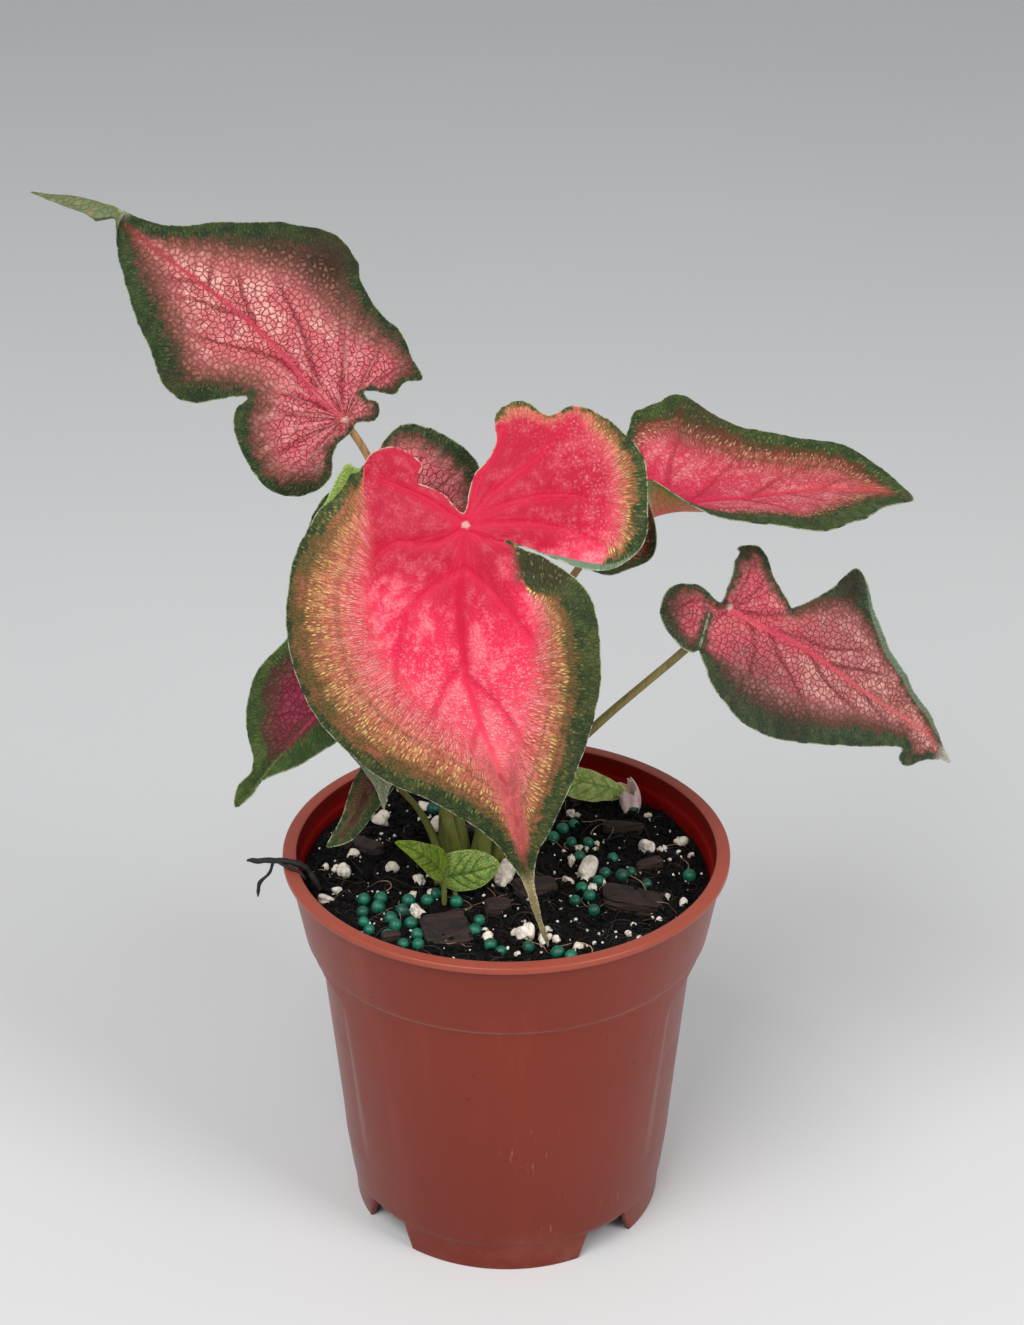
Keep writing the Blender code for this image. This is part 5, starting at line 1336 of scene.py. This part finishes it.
def pinnate(length, left, right, starts, wide):
    """A straight midrib and curved side veins in pairs, for a blade whose veins follow no special course."""
    veins = [(((0, 0.2), (0, length * 0.5), (0, length * 0.94)), wide * 1.6, wide * 0.35)]
    for start in starts:
        for side, reach in ((-1, left), (1, right)):
            span = reach * (1 - 0.75 * start / length)
            line = (0, start), (side * span * 0.5, start + span * 0.42), (side * span, start + span * 1.05)
            veins.append((line, wide, wide * 0.3))
    return veins


behind = {
    "join": (-28.7, -1, 204.6), "tip": (-32.5, -8, 124.2), "face": (-0.10, -0.93, 0.30),
    "arch": 5, "bow": 0, "lobe": 0.006, "cup": -0.003, "puff": 0.4, "ripple": (0.4, 16.0),
    "outline": (
        (0, -3, 0.5, 1), (-3, -6, 1, 2), (-9, -8.5, 2, 3), (-14, -7.5, 2, 3), (-18.5, -3, 2, 4), (-21.5, 4, 2.5, 4),
        (-23.5, 12, 3, 5), (-23.5, 22, 3, 5), (-21, 35, 3, 5), (-15, 49, 3.5, 5), (-9, 62, 4, 5), (-4.8, 65.2, 4, 2),
        (-1.8, 68, 4, 1), (-0.3, 70, 4, 0), (0.8, 72.6, 4, 0), (2, 75.8, 4, 0), (2.3, 73.4, 4, 0), (2.7, 71, 4, 0),
        (3.9, 68, 4, 1), (6, 65.5, 4, 2), (9, 60, 4, 5), (16, 46, 3, 5), (22, 30, 3, 5), (24.5, 15, 3, 5),
        (24, 4, 3, 5), (22.8, -6.2, 2.8, 3), (21.1, -13, 2.8, 3), (18, -17.2, 2.8, 3), (12.9, -20.3, 2.6, 3),
        (6.6, -22.3, 2.2, 3), (1, -22.7, 1.5, 3), (-3, -19.5, 1, 2), (-5, -15, 0.8, 2), (-3, -9, 0.6, 1),
    ),
    "swells": ((0, 76, 14, 0, 0, 10),), "tail": (60, 65, 72.5),
}
behind_veins = pinnate(80, 20, 20, (3, 14, 27, 40, 53), 0.5) + [
    (((0.6, -0.8), (8, -5), (13, -10), (17, -14)), 0.5, 0.22),
    (((0.4, -1), (4.5, -9), (6, -15), (5.5, -20)), 0.5, 0.22),
    (((0.8, -0.3), (10, -1), (17, 0), (22, 2)), 0.5, 0.22), (((-0.6, -0.8), (-8, -3), (-15, -3)), 0.45, 0.2),
]
grow(
    "behind", behind, behind_veins,
    ((-15.5, 3, 101), (-17, 6, 130), (-23, 9, 165), (-27.5, 6, 195)), 2.3, 1.0,
    (rose_upper, rose_under), "rose_net_blade",
)

# The leaf at the right. It lies nearly level and points away to the right, so that its far half is seen
# over the midrib. Its near lobe hangs and tucks in under the front leaf.
flushed_upper = blade_upper(
    "flushed_blade_upper", heart=paint(214, 26, 74), field=paint(206, 58, 82), far=paint(190, 76, 80),
    pale=paint(246, 156, 156), vein_top=paint(214, 24, 72), vein=paint(214, 60, 70), branch=paint(176, 44, 60),
    net=paint(96, 36, 36), tan=paint(158, 74, 60), brown=paint(110, 56, 40), olive=paint(78, 70, 36),
    gold=paint(226, 186, 140), green=paint(76, 92, 44), green_dark=paint(48, 64, 32), dusk=paint(72, 50, 36),
    back=paint(120, 144, 80), silver=paint(150, 160, 130), tail=paint(90, 70, 46), thread=paint(70, 50, 40),
    net_share=0.34, gold_share=0.5, pale_share=0.6, ray_share=0.10, streak_share=0.3,
)
right = {
    "join": (27.2, 14, 196.6), "tip": (106.1, 24, 199.3), "face": (-0.05, -0.10, 0.99),
    "arch": 4, "bow": 7, "lobe": 0.004, "cup": 0.0, "folds": (0.35, 0.12), "puff": 0.4, "ripple": (0.4, 19.0),
    "swells": ((-18.1, 4.2, 7.6, -1.0, 8.8, -9.2), (-18.9, 11.0, 8.5, 3.5, -8.1, 18.2),
     (-20.3, 24.9, 13.1, -0.4, -2.4, 4.4)),
    "outline": (
        (0, -3, 0.5, 1), (-4, -7, 1, 3), (-10, -10, 3.6, 3), (-16.6, -10.8, 4.4, 3), (-21.9, -9.4, 4.6, 3),
        (-26, -6.4, 4.6, 3), (-27, -3.8, 4.6, 3), (-24.5, -1.6, 4.2, 3), (-20.5, 0.2, 3.4, 3), (-19, 3, 3.5, 4),
        (-19, 6.5, 3.5, 4), (-18, 10.5, 3.6, 4), (-17.5, 15, 3.6, 4), (-18, 20, 3.6, 4), (-20, 28, 4.4, 4),
        (-22.5, 38, 6, 4), (-23.5, 46, 7.6, 4), (-23.5, 52, 7.8, 4), (-19, 59, 7, 5), (-10, 67.5, 6, 4),
        (-3, 75.5, 4, 4), (0.5, 80, 4, 2), (8, 76.5, 4, 5), (17, 69.5, 4, 7), (22, 60, 4, 8), (26, 45, 4, 9),
        (31, 36, 4, 9), (36.4, 29.9, 4, 9), (40.8, 27, 4.5, 9), (42, 23.2, 6.5, 10), (39.8, 19.5, 6.5, 9),
        (37.8, 15, 5.5, 7), (37.2, 12.1, 3.5, 6), (31.3, 9.4, 1.6, 4), (26.5, 6, 0.8, 1.5), (24, -2, 1.5, 3),
        (18, -8, 2.5, 5), (11, -10, 2, 4), (4, -7, 1, 2),
    ),
    "spots": ((30, 30, 13, 0, 0.5),), "tail": (77, 80, 83),
}
right_veins = [
    (((0, 0.3), (2, 9), (2, 18), (1.1, 25.9), (0.6, 32.1), (2.1, 44.5), (3.9, 56.2), (3.9, 69.6),
      (3.1, 76.2)), 1.0, 0.35),
    (((2.2, 20), (11.1, 29.1), (16.4, 35.5), (21.6, 43.3)), 0.6, 0.3),
    (((2, 9), (8.8, 15.5), (18.7, 18.6), (27.5, 22.8), (35, 25.5)), 0.6, 0.3),
    (((0.8, 1), (12.2, 9.5), (19.8, 11.4), (28.3, 12.2)), 0.6, 0.3),
    (((1, 36.2), (10, 46.2), (12.9, 54.9), (16.8, 62.5)), 0.55, 0.25),
    (((0.6, 33), (-8.6, 43.4), (-14.9, 48.5)), 0.55, 0.25), (((2, 14), (-6, 22), (-14, 30)), 0.55, 0.25),
    (((2.1, 45), (-3, 53), (-8, 60)), 0.45, 0.22), (((0.5, 0.5), (-8, 3), (-15, 4)), 0.5, 0.25),
    (((0, -0.8), (-6, -5), (-11, -6)), 0.5, 0.25), (((0.5, -0.8), (8, -5), (16, -5)), 0.5, 0.25),
    (((3.6, 55), (8, 62), (11, 69)), 0.45, 0.2),
]
grow(
    "right", right, right_veins,
    ((-6.5, 7.5, 101), (-3, 10, 130), (6, 12, 160), (17.6, 13, 183)), 2.2, 1.0,
    (flushed_upper, crimson_under), "crimson_blade",
)

# The lower leaf at the right, on a long leaning stalk. Its margin is torn and dried at the tip, one lobe
# curls into a small cup at the join, and a peak stands up half way along.
lower_right = {
    "join": (57.0, -3, 181.0), "tip": (118.2, 9, 129.6), "face": (0.10, -0.74, 0.66),
    "arch": 4, "bow": -2, "lobe": 0.004, "cup": -0.001, "puff": 0.4, "ripple": (0.45, 14.0),
    "outline": (
        (0, -3, 0.5, 1), (0.5, -6, 0.8, 1), (1, -10, 1, 2), (-1, -14, 1.2, 2), (-4, -16.5, 1.5, 2),
        (-8, -16.5, 1.5, 2), (-12, -14, 1.8, 3), (-14.5, -10, 2, 3), (-15.8, -6.5, 1.5, 2), (-15, -3.3, 0.8, 1),
        (-10, -3.45, 0.2, 0.5), (-5.5, -4.4, 0.2, 0.5), (-4.2, -4.5, 0.3, 0.5, 0.4), (-5.5, -4.1, 0.5, 1, 0.5),
        (-10, -3.25, 0.8, 1, 0.9), (-14.6, -2.9, 2, 2, 0.8), (-17.6, 1, 3.5, 3, 0.6), (-21.2, 6.5, 4.5, 5),
        (-24, 14, 5.5, 5), (-24, 24, 5.5, 5), (-20, 35, 5, 5), (-15, 45, 4.5, 5), (-11, 53, 4, 5), (-6.2, 61.5, 3, 4),
        (-5.6, 63.5, 2.5, 3), (-8.2, 64.2, 2.5, 3), (-8.6, 68, 2.5, 3), (-5, 71.5, 1.5, 2), (-2.6, 75, 1, 1),
        (-1, 78, 1, 1), (0.4, 82, 1, 0), (2, 78, 1.5, 1), (5.2, 71, 1, 1, 1.2), (11, 54.5, 1, 1.5, 1.8),
        (17.6, 41, 1.2, 3, 1.7), (26, 32.5, 5, 4, 0.8), (28.5, 28, 6, 4), (24, 25.5, 3, 4), (19, 23, 1.5, 3),
        (13, 19, 0.8, 2), (9.3, 15.6, 0.6, 1.5), (8.8, 14.9, 0.6, 1.5), (9.2, 14.2, 0.6, 1.5), (13.5, 8, 0.8, 1.5),
        (17.5, 2.5, 1.5, 2), (18.6, 0.3, 1.5, 2), (18, -1.5, 1.8, 2), (16, -4.2, 1.8, 2), (15, -4.6, 1.8, 2),
        (14.6, -3.6, 1.6, 2), (12, -4.2, 1.2, 2), (7, -3, 0.8, 1),
    ),
    "lifts": ((-12, 0, 4, 1.0), (-10, -8, 4, -1.0)),
    "spots": ((-14, 12, 12, 0, 0.55), (14, 26, 11, 0, 0.32), (24, 29, 5, 3, 0.5), (-16, 30, 10, 0, 0.4),
     (-8, -12, 6, 0, 0.5)),
    "tail": (73, 80, 84),
}
dusk_upper = blade_upper(
    "dusk_blade_upper", heart=paint(206, 78, 94), field=paint(184, 98, 98), far=paint(158, 96, 86),
    pale=paint(236, 172, 162), vein=paint(208, 100, 104), vein_top=paint(204, 70, 88), branch=paint(112, 40, 46),
    net=paint(74, 26, 30), tan=paint(132, 80, 70),
    brown=paint(98, 62, 50), olive=paint(78, 66, 48), gold=paint(150, 108, 96), green=paint(68, 84, 52),
    green_dark=paint(44, 58, 40), dusk=paint(56, 44, 38), back=paint(66, 82, 54), silver=paint(106, 120, 98),
    tail=paint(196, 190, 178),
    thread=paint(150, 130, 110), net_share=0.62, gold_share=0.3, pale_share=0.85, ray_share=0.14, streak_share=0.3,
)
lower_right_veins = [
    (((-0.4, 1), (0.1, 10.1), (1.2, 18.5), (1.4, 30.3), (1, 44.1), (1.7, 58.6), (2.5, 72.1), (0, 80.7)), 0.9, 0.3),
    (((0.4, 2.9), (7.8, 16.9), (14.9, 25.2), (23.5, 30.7)), 0.5, 0.25),
    (((0, 12.5), (3.3, 20.8), (4.8, 28.5), (10.3, 39.2)), 0.5, 0.22),
    (((1.6, 32), (5.6, 41.7), (7.8, 48.1)), 0.45, 0.2),
    (((0, 6.2), (-5.6, 10.5), (-14.1, 12.4), (-20.7, 11.1)), 0.5, 0.22),
    (((0, 12.5), (-4.3, 17.9), (-7.6, 23.8), (-11.4, 30.1), (-14, 33.3)), 0.5, 0.22),
    (((1.3, 25.1), (-2.7, 32.4), (-4.1, 40.4), (-4.6, 47.3)), 0.45, 0.2),
    (((1, 44.1), (-1.4, 50.3), (-2.3, 56.8)), 0.4, 0.2),
    (((-0.5, -0.5), (-1.5, -6.7), (-5.7, -11.3), (-9.6, -13.1)), 0.45, 0.2),
    (((-1.7, -0.7), (-5.5, -3.4), (-10.6, -4.7)), 0.4, 0.2), (((0.5, 0.5), (7.5, 1.1), (12.9, 0.1)), 0.45, 0.2),
    (((0.5, 1.3), (8.1, 4.7), (13.7, 5.2)), 0.4, 0.2),
]
grow(
    "lower_right", lower_right, lower_right_veins,
    ((-4, 2, 101), (3.6, 0, 123), (24.3, -4, 148.6), (46.5, -5, 170.9)), 2.0, 1.05,
    (dusk_upper, rose_under), "rose_net_blade",
)

# The two low leaves at the left. One half-grown blade hangs behind the front leaf, dull brown-green with a
# crimson midrib, and one small narrow blade points down over the rim.
lower_left = {
    "join": (-36.1, -20, 173.1), "tip": (-68.1, -30, 137.8), "face": (-0.25, -0.88, 0.40),
    "arch": 2, "bow": -2, "lobe": 0.004, "cup": 0.0, "folds": (0.5, 0.1), "puff": 0.35, "ripple": (0.35, 13.0),
    "outline": (
        (0, -2.5, 0.5, 1), (-5, -7, 1.5, 2), (-11, -8, 2, 3), (-16, -4, 2.5, 3), (-18, 2, 2.5, 4), (-18.5, 9, 2.5, 4),
        (-19, 15, 3, 4), (-18, 21, 3, 4), (-15, 27, 3.5, 4), (-9.5, 33, 4, 3), (-5.2, 36, 3.4, 3), (-3.2, 38.8, 3, 1),
        (-3.4, 41.5, 3, 1), (-3.4, 44.5, 4, 1), (-2.2, 47.2, 5, 0), (-0.5, 49, 6, 0), (0.7, 45.5, 5, 1),
        (0.8, 42, 4, 1), (0.4, 39.2, 4, 1), (1.4, 36.8, 4, 2), (5, 30, 5, 3), (7.5, 23, 6, 3), (9.5, 15, 6.5, 3),
        (10, 6, 5.5, 3), (9, -2, 3, 2), (6, -6, 1, 2), (3, -6, 0.8, 1),
    ),
}
plum_upper = blade_upper(
    "plum_blade_upper", heart=paint(150, 30, 60), field=paint(128, 44, 60), far=paint(110, 62, 56),
    pale=paint(170, 90, 96), vein=paint(172, 50, 80), vein_top=paint(184, 44, 82), branch=paint(110, 30, 50),
    net=paint(60, 24, 30), tan=paint(106, 58, 54),
    brown=paint(84, 52, 44), olive=paint(80, 74, 46), gold=paint(160, 130, 96), green=paint(78, 98, 44),
    green_dark=paint(52, 70, 32), dusk=paint(60, 40, 36), back=paint(126, 140, 90), silver=paint(140, 150, 116),
    tail=paint(96, 104, 66),
    thread=paint(90, 76, 50), net_share=0.6, gold_share=0.2, pale_share=0.5, ray_share=0.1, streak_share=0.0,
)
grow(
    "lower_left", lower_left, pinnate(46, 17, 9, (2, 9, 17, 26), 0.45),
    ((-13.5, -2.5, 101), (-15, -9, 120), (-20, -14.5, 142), (-29, -17.5, 162)), 2.0, 0.9,
    (plum_upper, rose_under), "rose_net_blade", 0.7,
)

green_rose_upper = blade_upper(
    "green_rose_blade_upper", heart=paint(104, 62, 58), field=paint(98, 60, 56), far=paint(98, 74, 54),
    pale=paint(146, 100, 84), vein=paint(88, 58, 46), vein_top=paint(98, 58, 52), branch=paint(96, 50, 44),
    net=paint(78, 44, 36), tan=paint(106, 78, 54),
    brown=paint(96, 76, 46), olive=paint(84, 84, 46), gold=paint(158, 146, 92), green=paint(76, 88, 44),
    green_dark=paint(52, 66, 34), dusk=paint(66, 48, 38), back=paint(120, 132, 84), silver=paint(130, 140, 100),
    tail=paint(96, 96, 60),
    thread=paint(86, 66, 48), net_share=0.35, gold_share=0.25, pale_share=0.4, ray_share=0.1, streak_share=0.0,
)
green_under = blade_under(
    "green_blade_under", paint(132, 118, 84), paint(120, 126, 78), paint(120, 140, 84), paint(150, 156, 104),
)
small_left = {
    "join": (-31.1, -12, 140.6), "tip": (-46.2, -24, 123.1), "face": (0.10, -0.85, 0.50),
    "arch": 1, "lobe": 0.004, "folds": (0.1, 0.1), "puff": 0.2, "ripple": (0.15, 9.0), "ragged": 0.05,
    "outline": (
        (0, -2, 0.5, 1), (-3, -3, 0.6, 1), (-5, 2, 1, 1), (-4.6, 7, 1, 2), (-3.4, 12, 1, 2), (-1.6, 17, 1, 2),
        (-0.9, 21, 1, 1.5), (-0.6, 24, 1.2, 1), (0, 26.3, 2, 0), (2.2, 24.6, 2, 1), (4.4, 21, 2, 1.5),
        (5, 16, 2.2, 1.5), (5, 10, 2.2, 1.5), (5.3, 4, 2, 1), (4.4, -2, 1.5, 1), (2, -3.5, 0.8, 1),
    ),
}
grow(
    "small_left", small_left, pinnate(25, 5, 5, (1, 5, 9, 13), 0.3),
    ((-17.5, -7, 101), (-18.6, -5.6, 112), (-23.1, -6.5, 123.6), (-27.9, -9.5, 132.1)), 1.5, 0.8,
    (green_rose_upper, green_under), "green_rose_blade", 0.5,
)

# The seedlings. Two young plain-green leaves beside the stalks, bright and soft, folded along the middle or
# quilted between their sunken veins, each on a short stalk of its own.


def spring_green(name, light, dark, vein):
    """A young leaf's green in two tones, with darker veins, a fine net of them and a light margin."""
    look = Finish(name, flat=True)
    fade = look.fade
    flat = look.leaf_map("leaf")
    rim, mid, rib = look.marks("rim", "mid", "rib")
    tone = look.clouds(flat, 60, 4, 0.6)
    lines = look.edges(flat, 110, 0.12, 0.02)
    colour = look.coats(
        dark,
        (fade(tone, 0.3, 0.7), light),
        (fade(rib, 2.4, 0.8) * 0.55, vein),
        (fade(mid, 2.0, 0.8) * 0.7, vein),
        (lines * 0.3, vein),
        (fade(rim, 0.4, 0.1) * 0.6, light),
    )
    relief = look.bump(lines * -0.6 + tone * 0.6 + fade(rib, 1.5, 0.4) * -0.8, 0.3, 0.9)
    return look.surface(
        {"Base Color": colour, "Roughness": 0.42, "Normal": relief, "Specular IOR Level": 0.4}, through=(0.22, colour)
    )


yellow_green = spring_green("spring_green_light", paint(146, 166, 52), paint(102, 130, 36), paint(84, 112, 30))
mid_green = spring_green("spring_green_mid", paint(164, 188, 92), paint(112, 148, 60), paint(76, 112, 42))
seedling_left = {
    "join": (-17.3, -17.0, 111.6), "tip": (-28.8, -19.4, 121.4), "face": (-0.1, -0.5, 0.86),
    "arch": 1.5, "bow": 1.5, "lobe": 0.01, "folds": (0.5, 0.5), "puff": 0.25, "ripple": (0.2, 6.0), "ragged": 0.05,
    "outline": ((0, -1), (-2.2, -1.6), (-4, 0.5), (-4.2, 4), (-3, 8), (-2, 12), (0, 15.4), (1.6, 12), (2.8, 8),
     (4, 4), (4, 0.5), (2.2, -1.6)),
}
seedling_right = {
    "join": (-15.2, -14.0, 107.5), "tip": (-2.3, -11.5, 110.0), "face": (0.15, -0.93, 0.35),
    "arch": 1.5, "lobe": 0.01, "cup": -0.02, "puff": 0.5, "ripple": (0.2, 6.0), "ragged": 0.05,
    "outline": (
        (0, -1), (2, -3), (4.5, -2.5), (6.2, 1), (6.3, 5), (5.2, 9), (3, 12), (0, 13.8), (-2.6, 11.6), (-4.4, 8),
        (-4.6, 4), (-3.8, 0.5), (-2, -1.8),
    ),
}
make_stalk(
    "stalk_seedling_left", seedling_left, ((-16.4, -17.0, 101), (-16.6, -16.8, 107)), 0.8, 0.65,
    ("seedling_left_stem",), 0,
)
make_stalk(
    "stalk_seedling_right", seedling_right, ((-13.4, -13.4, 101), (-14.5, -11.9, 104.6)), 0.8, 0.65,
    ("seedling_right_stem",), 0,
)
make_blade(
    "blade_seedling_left", seedling_left, pinnate(15, 3.5, 3.5, (1, 4, 7), 0.25), (yellow_green, yellow_green),
    "spring_green_blade", ("seedling_left",), 0.4,
)
make_blade(
    "blade_seedling_right", seedling_right, pinnate(13, 5, 5, (0.6, 3.2, 6), 0.3), (mid_green, mid_green),
    "spring_green_blade", ("seedling_right",), 0.4,
)

# The new shoot at the back right. A pale, half-rolled young leaf that leans out of a short papery sheath,
# which is pinkish cream and ragged at its mouth.
pale_green = spring_green("pale_green_shoot", paint(234, 244, 160), paint(168, 206, 98), paint(146, 188, 84))
shoot = {
    "join": (33.6, 36.5, 104.2), "tip": (6.5, 41.5, 108.8), "face": (0.0, -0.80, 0.60),
    "arch": 2, "lobe": 0.01, "cup": -0.035, "puff": 0.3, "ripple": (0.45, 6.0), "ragged": 0.12,
    "outline": (
        (0, -1), (-1.2, -0.6), (-1.8, 2), (-3.0, 6), (-3.8, 11), (-3.7, 17), (-2.6, 23), (0, 27.9), (3.0, 23.5),
        (4.6, 17), (5.0, 11), (4.0, 6), (2.4, 2), (1.3, -0.6),
    ),
}
make_blade(
    "blade_shoot", shoot, pinnate(23, 3, 6, (1, 5, 9, 13), 0.3), (pale_green, pale_green), "pale_green_blade",
    ("shoot_leaf",), 0.45,
)


def papery():
    """Dry, pinkish cream, with fine upright streaks."""
    look = Finish("papery_sheath")
    place = look.place()
    streaks = look.clouds(look.stretched(place, 700, 700, 70), 1.0, 3)
    colour = look.blend(look.fade(streaks, 0.4, 0.7), paint(244, 222, 216), paint(216, 176, 170))
    return look.surface({"Base Color": colour, "Roughness": 0.6, "Normal": look.bump(streaks, 0.2, 0.7)})


def sheath_wall():
    """A thin sleeve round a leaning path. Its wall goes up outside, turns over a ragged mouth that is higher on
    one side, and comes down inside; the mouth opens out and its edge is wavy."""
    sides = 40
    path = even_curve(
        ((34.5, 34.2, 94), (34.8, 34.3, 100), (34.6, 35.0, 103.5), (33.2, 35.9, 106.2), (30.6, 36.6, 107.9)), 0.45
    )
    _, side, other = path_frame(path, (0, 1, 0.2))
    level = np.linspace(0, 1, len(path))
    turn = np.arange(sides) / sides * math.tau
    mouth = 0.80 + 0.10 * np.sin(turn + 0.8) + 0.05 * np.sin(3 * turn) + 0.04 * np.sin(7 * turn + 1)
    rings = []
    for inward, rows in ((0.0, np.linspace(0, 1, 26)), (0.35, np.linspace(1, 0.25, 18))):
        reach = rows[:, None] * mouth[None]
        radius = np.interp(reach, (0, 0.5, 0.75, 1), (2.6, 3.0, 3.1, 3.6)) * (1 + 0.05 * np.sin(5 * turn)) - inward
        spot, across, over = (
            np.stack([np.interp(reach, level, line[:, axis]) for axis in range(3)], -1) for line in (path, side,
             other)
        )
        rings.append(spot + radius[..., None] * (np.cos(turn)[:, None] * across - np.sin(turn)[:, None] * over))
    rings = np.vstack(rings)
    count = len(rings)
    points = np.vstack([rings.reshape(-1, 3), rings[0].mean(0), rings[-1].mean(0)])
    return points, [
        ring_faces(count, sides),
        pole_faces(0, sides, count * sides, True),
        pole_faces((count - 1) * sides, sides, count * sides + 1, False),
    ]


put_mesh("sheath_of_shoot", *sheath_wall(), papery(), "pale_sheath", ("shoot_sheath",), sharp=60)

# The dead root at the left. A thin black knotted root that came up with the soil and lies over the rim, with
# one side root hanging from it and a thin fork on the lip.


def knotted(points, thick, seed):
    """A tube whose radius swells and shrinks at random along it, for old roots."""
    path = even_curve(points, 0.45)
    path = path + 0.25 * np.stack([grain(path, 2.2, seed + axis) for axis in range(3)], -1)
    knots = 1 + 0.35 * grain(path, 1.5, seed + 5) + 0.5 * np.maximum(0, grain(path, 3.1, seed + 6))
    taper = np.minimum(1, np.linspace(0.35, 5, len(path)))
    return tube(path, thick * knots * taper, 9)


black_root = root_skin("black_dead_root", paint(7, 6, 6), paint(26, 20, 18))
twig_main = knotted((
    (-69, -8, 108.9), (-65, -9, 109.7), (-60.5, -10.3, 110.3), (-56.5, -11.4, 110.5), (-53.6, -12.1, 109.6),
    (-50.8, -12.8, 106), (-49.6, -13, 103.2),
), 0.72, 50)
twig_side = knotted((
    (-66.4, -10.4, 99.2), (-66.2, -10.3, 101.6), (-65.6, -10.2, 103.6), (-62.9, -10, 106.6), (-62.2, -9.9, 108.6),
    (-61.6, -9.9, 110.1),
), 0.40, 60)
twig_fork = knotted((
    (-52.8, -15.3, 107.4), (-54.6, -14.4, 109.2), (-57.4, -12.9, 109.8), (-60.4, -10.8, 110.2),
), 0.42, 61)
put_mesh("dead_root", *joined(twig_main, twig_side, twig_fork), black_root, "black_root", ("twig",), sharp=60)

# The stage: a plain pale floor, soft light from all round, a large soft lamp from the front left and above, a
# tall pane of light at the right front for the long highlight on the pot's side, and the camera.


def floor_paint():
    """A pale grey that hardly varies."""
    look = Finish("pale_floor")
    tone = look.clouds(look.place(), 3, 2)
    return look.surface({"Base Color": look.blend(tone, (0.60, 0.60, 0.60), (0.64, 0.64, 0.64)), "Roughness": 0.6})


floor_mesh = bpy.data.meshes.new("floor")
floor_mesh.from_pydata([(-4, -4, 0), (4, -4, 0), (4, 6, 0), (-4, 6, 0)], [], [(0, 1, 2, 3)])
floor_mesh.materials.append(floor_paint())
floor = bpy.data.objects.new("floor", floor_mesh)
bpy.context.scene.collection.objects.link(floor)

world = bpy.data.worlds.new("soft_room")
world.use_nodes = True
sky = world.node_tree.nodes["Background"].inputs
sky["Color"].default_value = (0.86, 0.88, 0.90, 1)
sky["Strength"].default_value = 0.5
bpy.context.scene.world = world


def softbox(name, place, target, width, height, watts):
    """A flat lamp of this width and height in metres, turned towards a target."""
    lamp = bpy.data.lights.new(name, "AREA")
    lamp.shape, lamp.size, lamp.size_y = "RECTANGLE", width, height
    lamp.energy = watts
    holder = bpy.data.objects.new(name, lamp)
    holder.location = place
    way = np.array(target, float) - np.array(place, float)
    holder.rotation_euler = (math.acos(-way[2] / np.linalg.norm(way)), 0, math.atan2(-way[0], way[1]))
    bpy.context.scene.collection.objects.link(holder)


softbox("key", (-0.55, -0.9, 1.35), (0, 0, 0.15), 1.0, 1.0, 22)
softbox("pane", (0.75, -0.62, 0.85), (0, 0, 0.08), 0.45, 0.8, 8)

camera = bpy.data.objects.new("camera", bpy.data.cameras.new("camera"))
camera.data.lens = 70.64
camera.data.clip_start, camera.data.clip_end = 0.05, 30
camera.location = (0.00145, -0.6002, 0.4683)
camera.rotation_euler = (math.radians(63.109), 0, 0)
bpy.context.scene.collection.objects.link(camera)
bpy.context.scene.camera = camera
bpy.context.scene.view_settings.view_transform = "Standard"
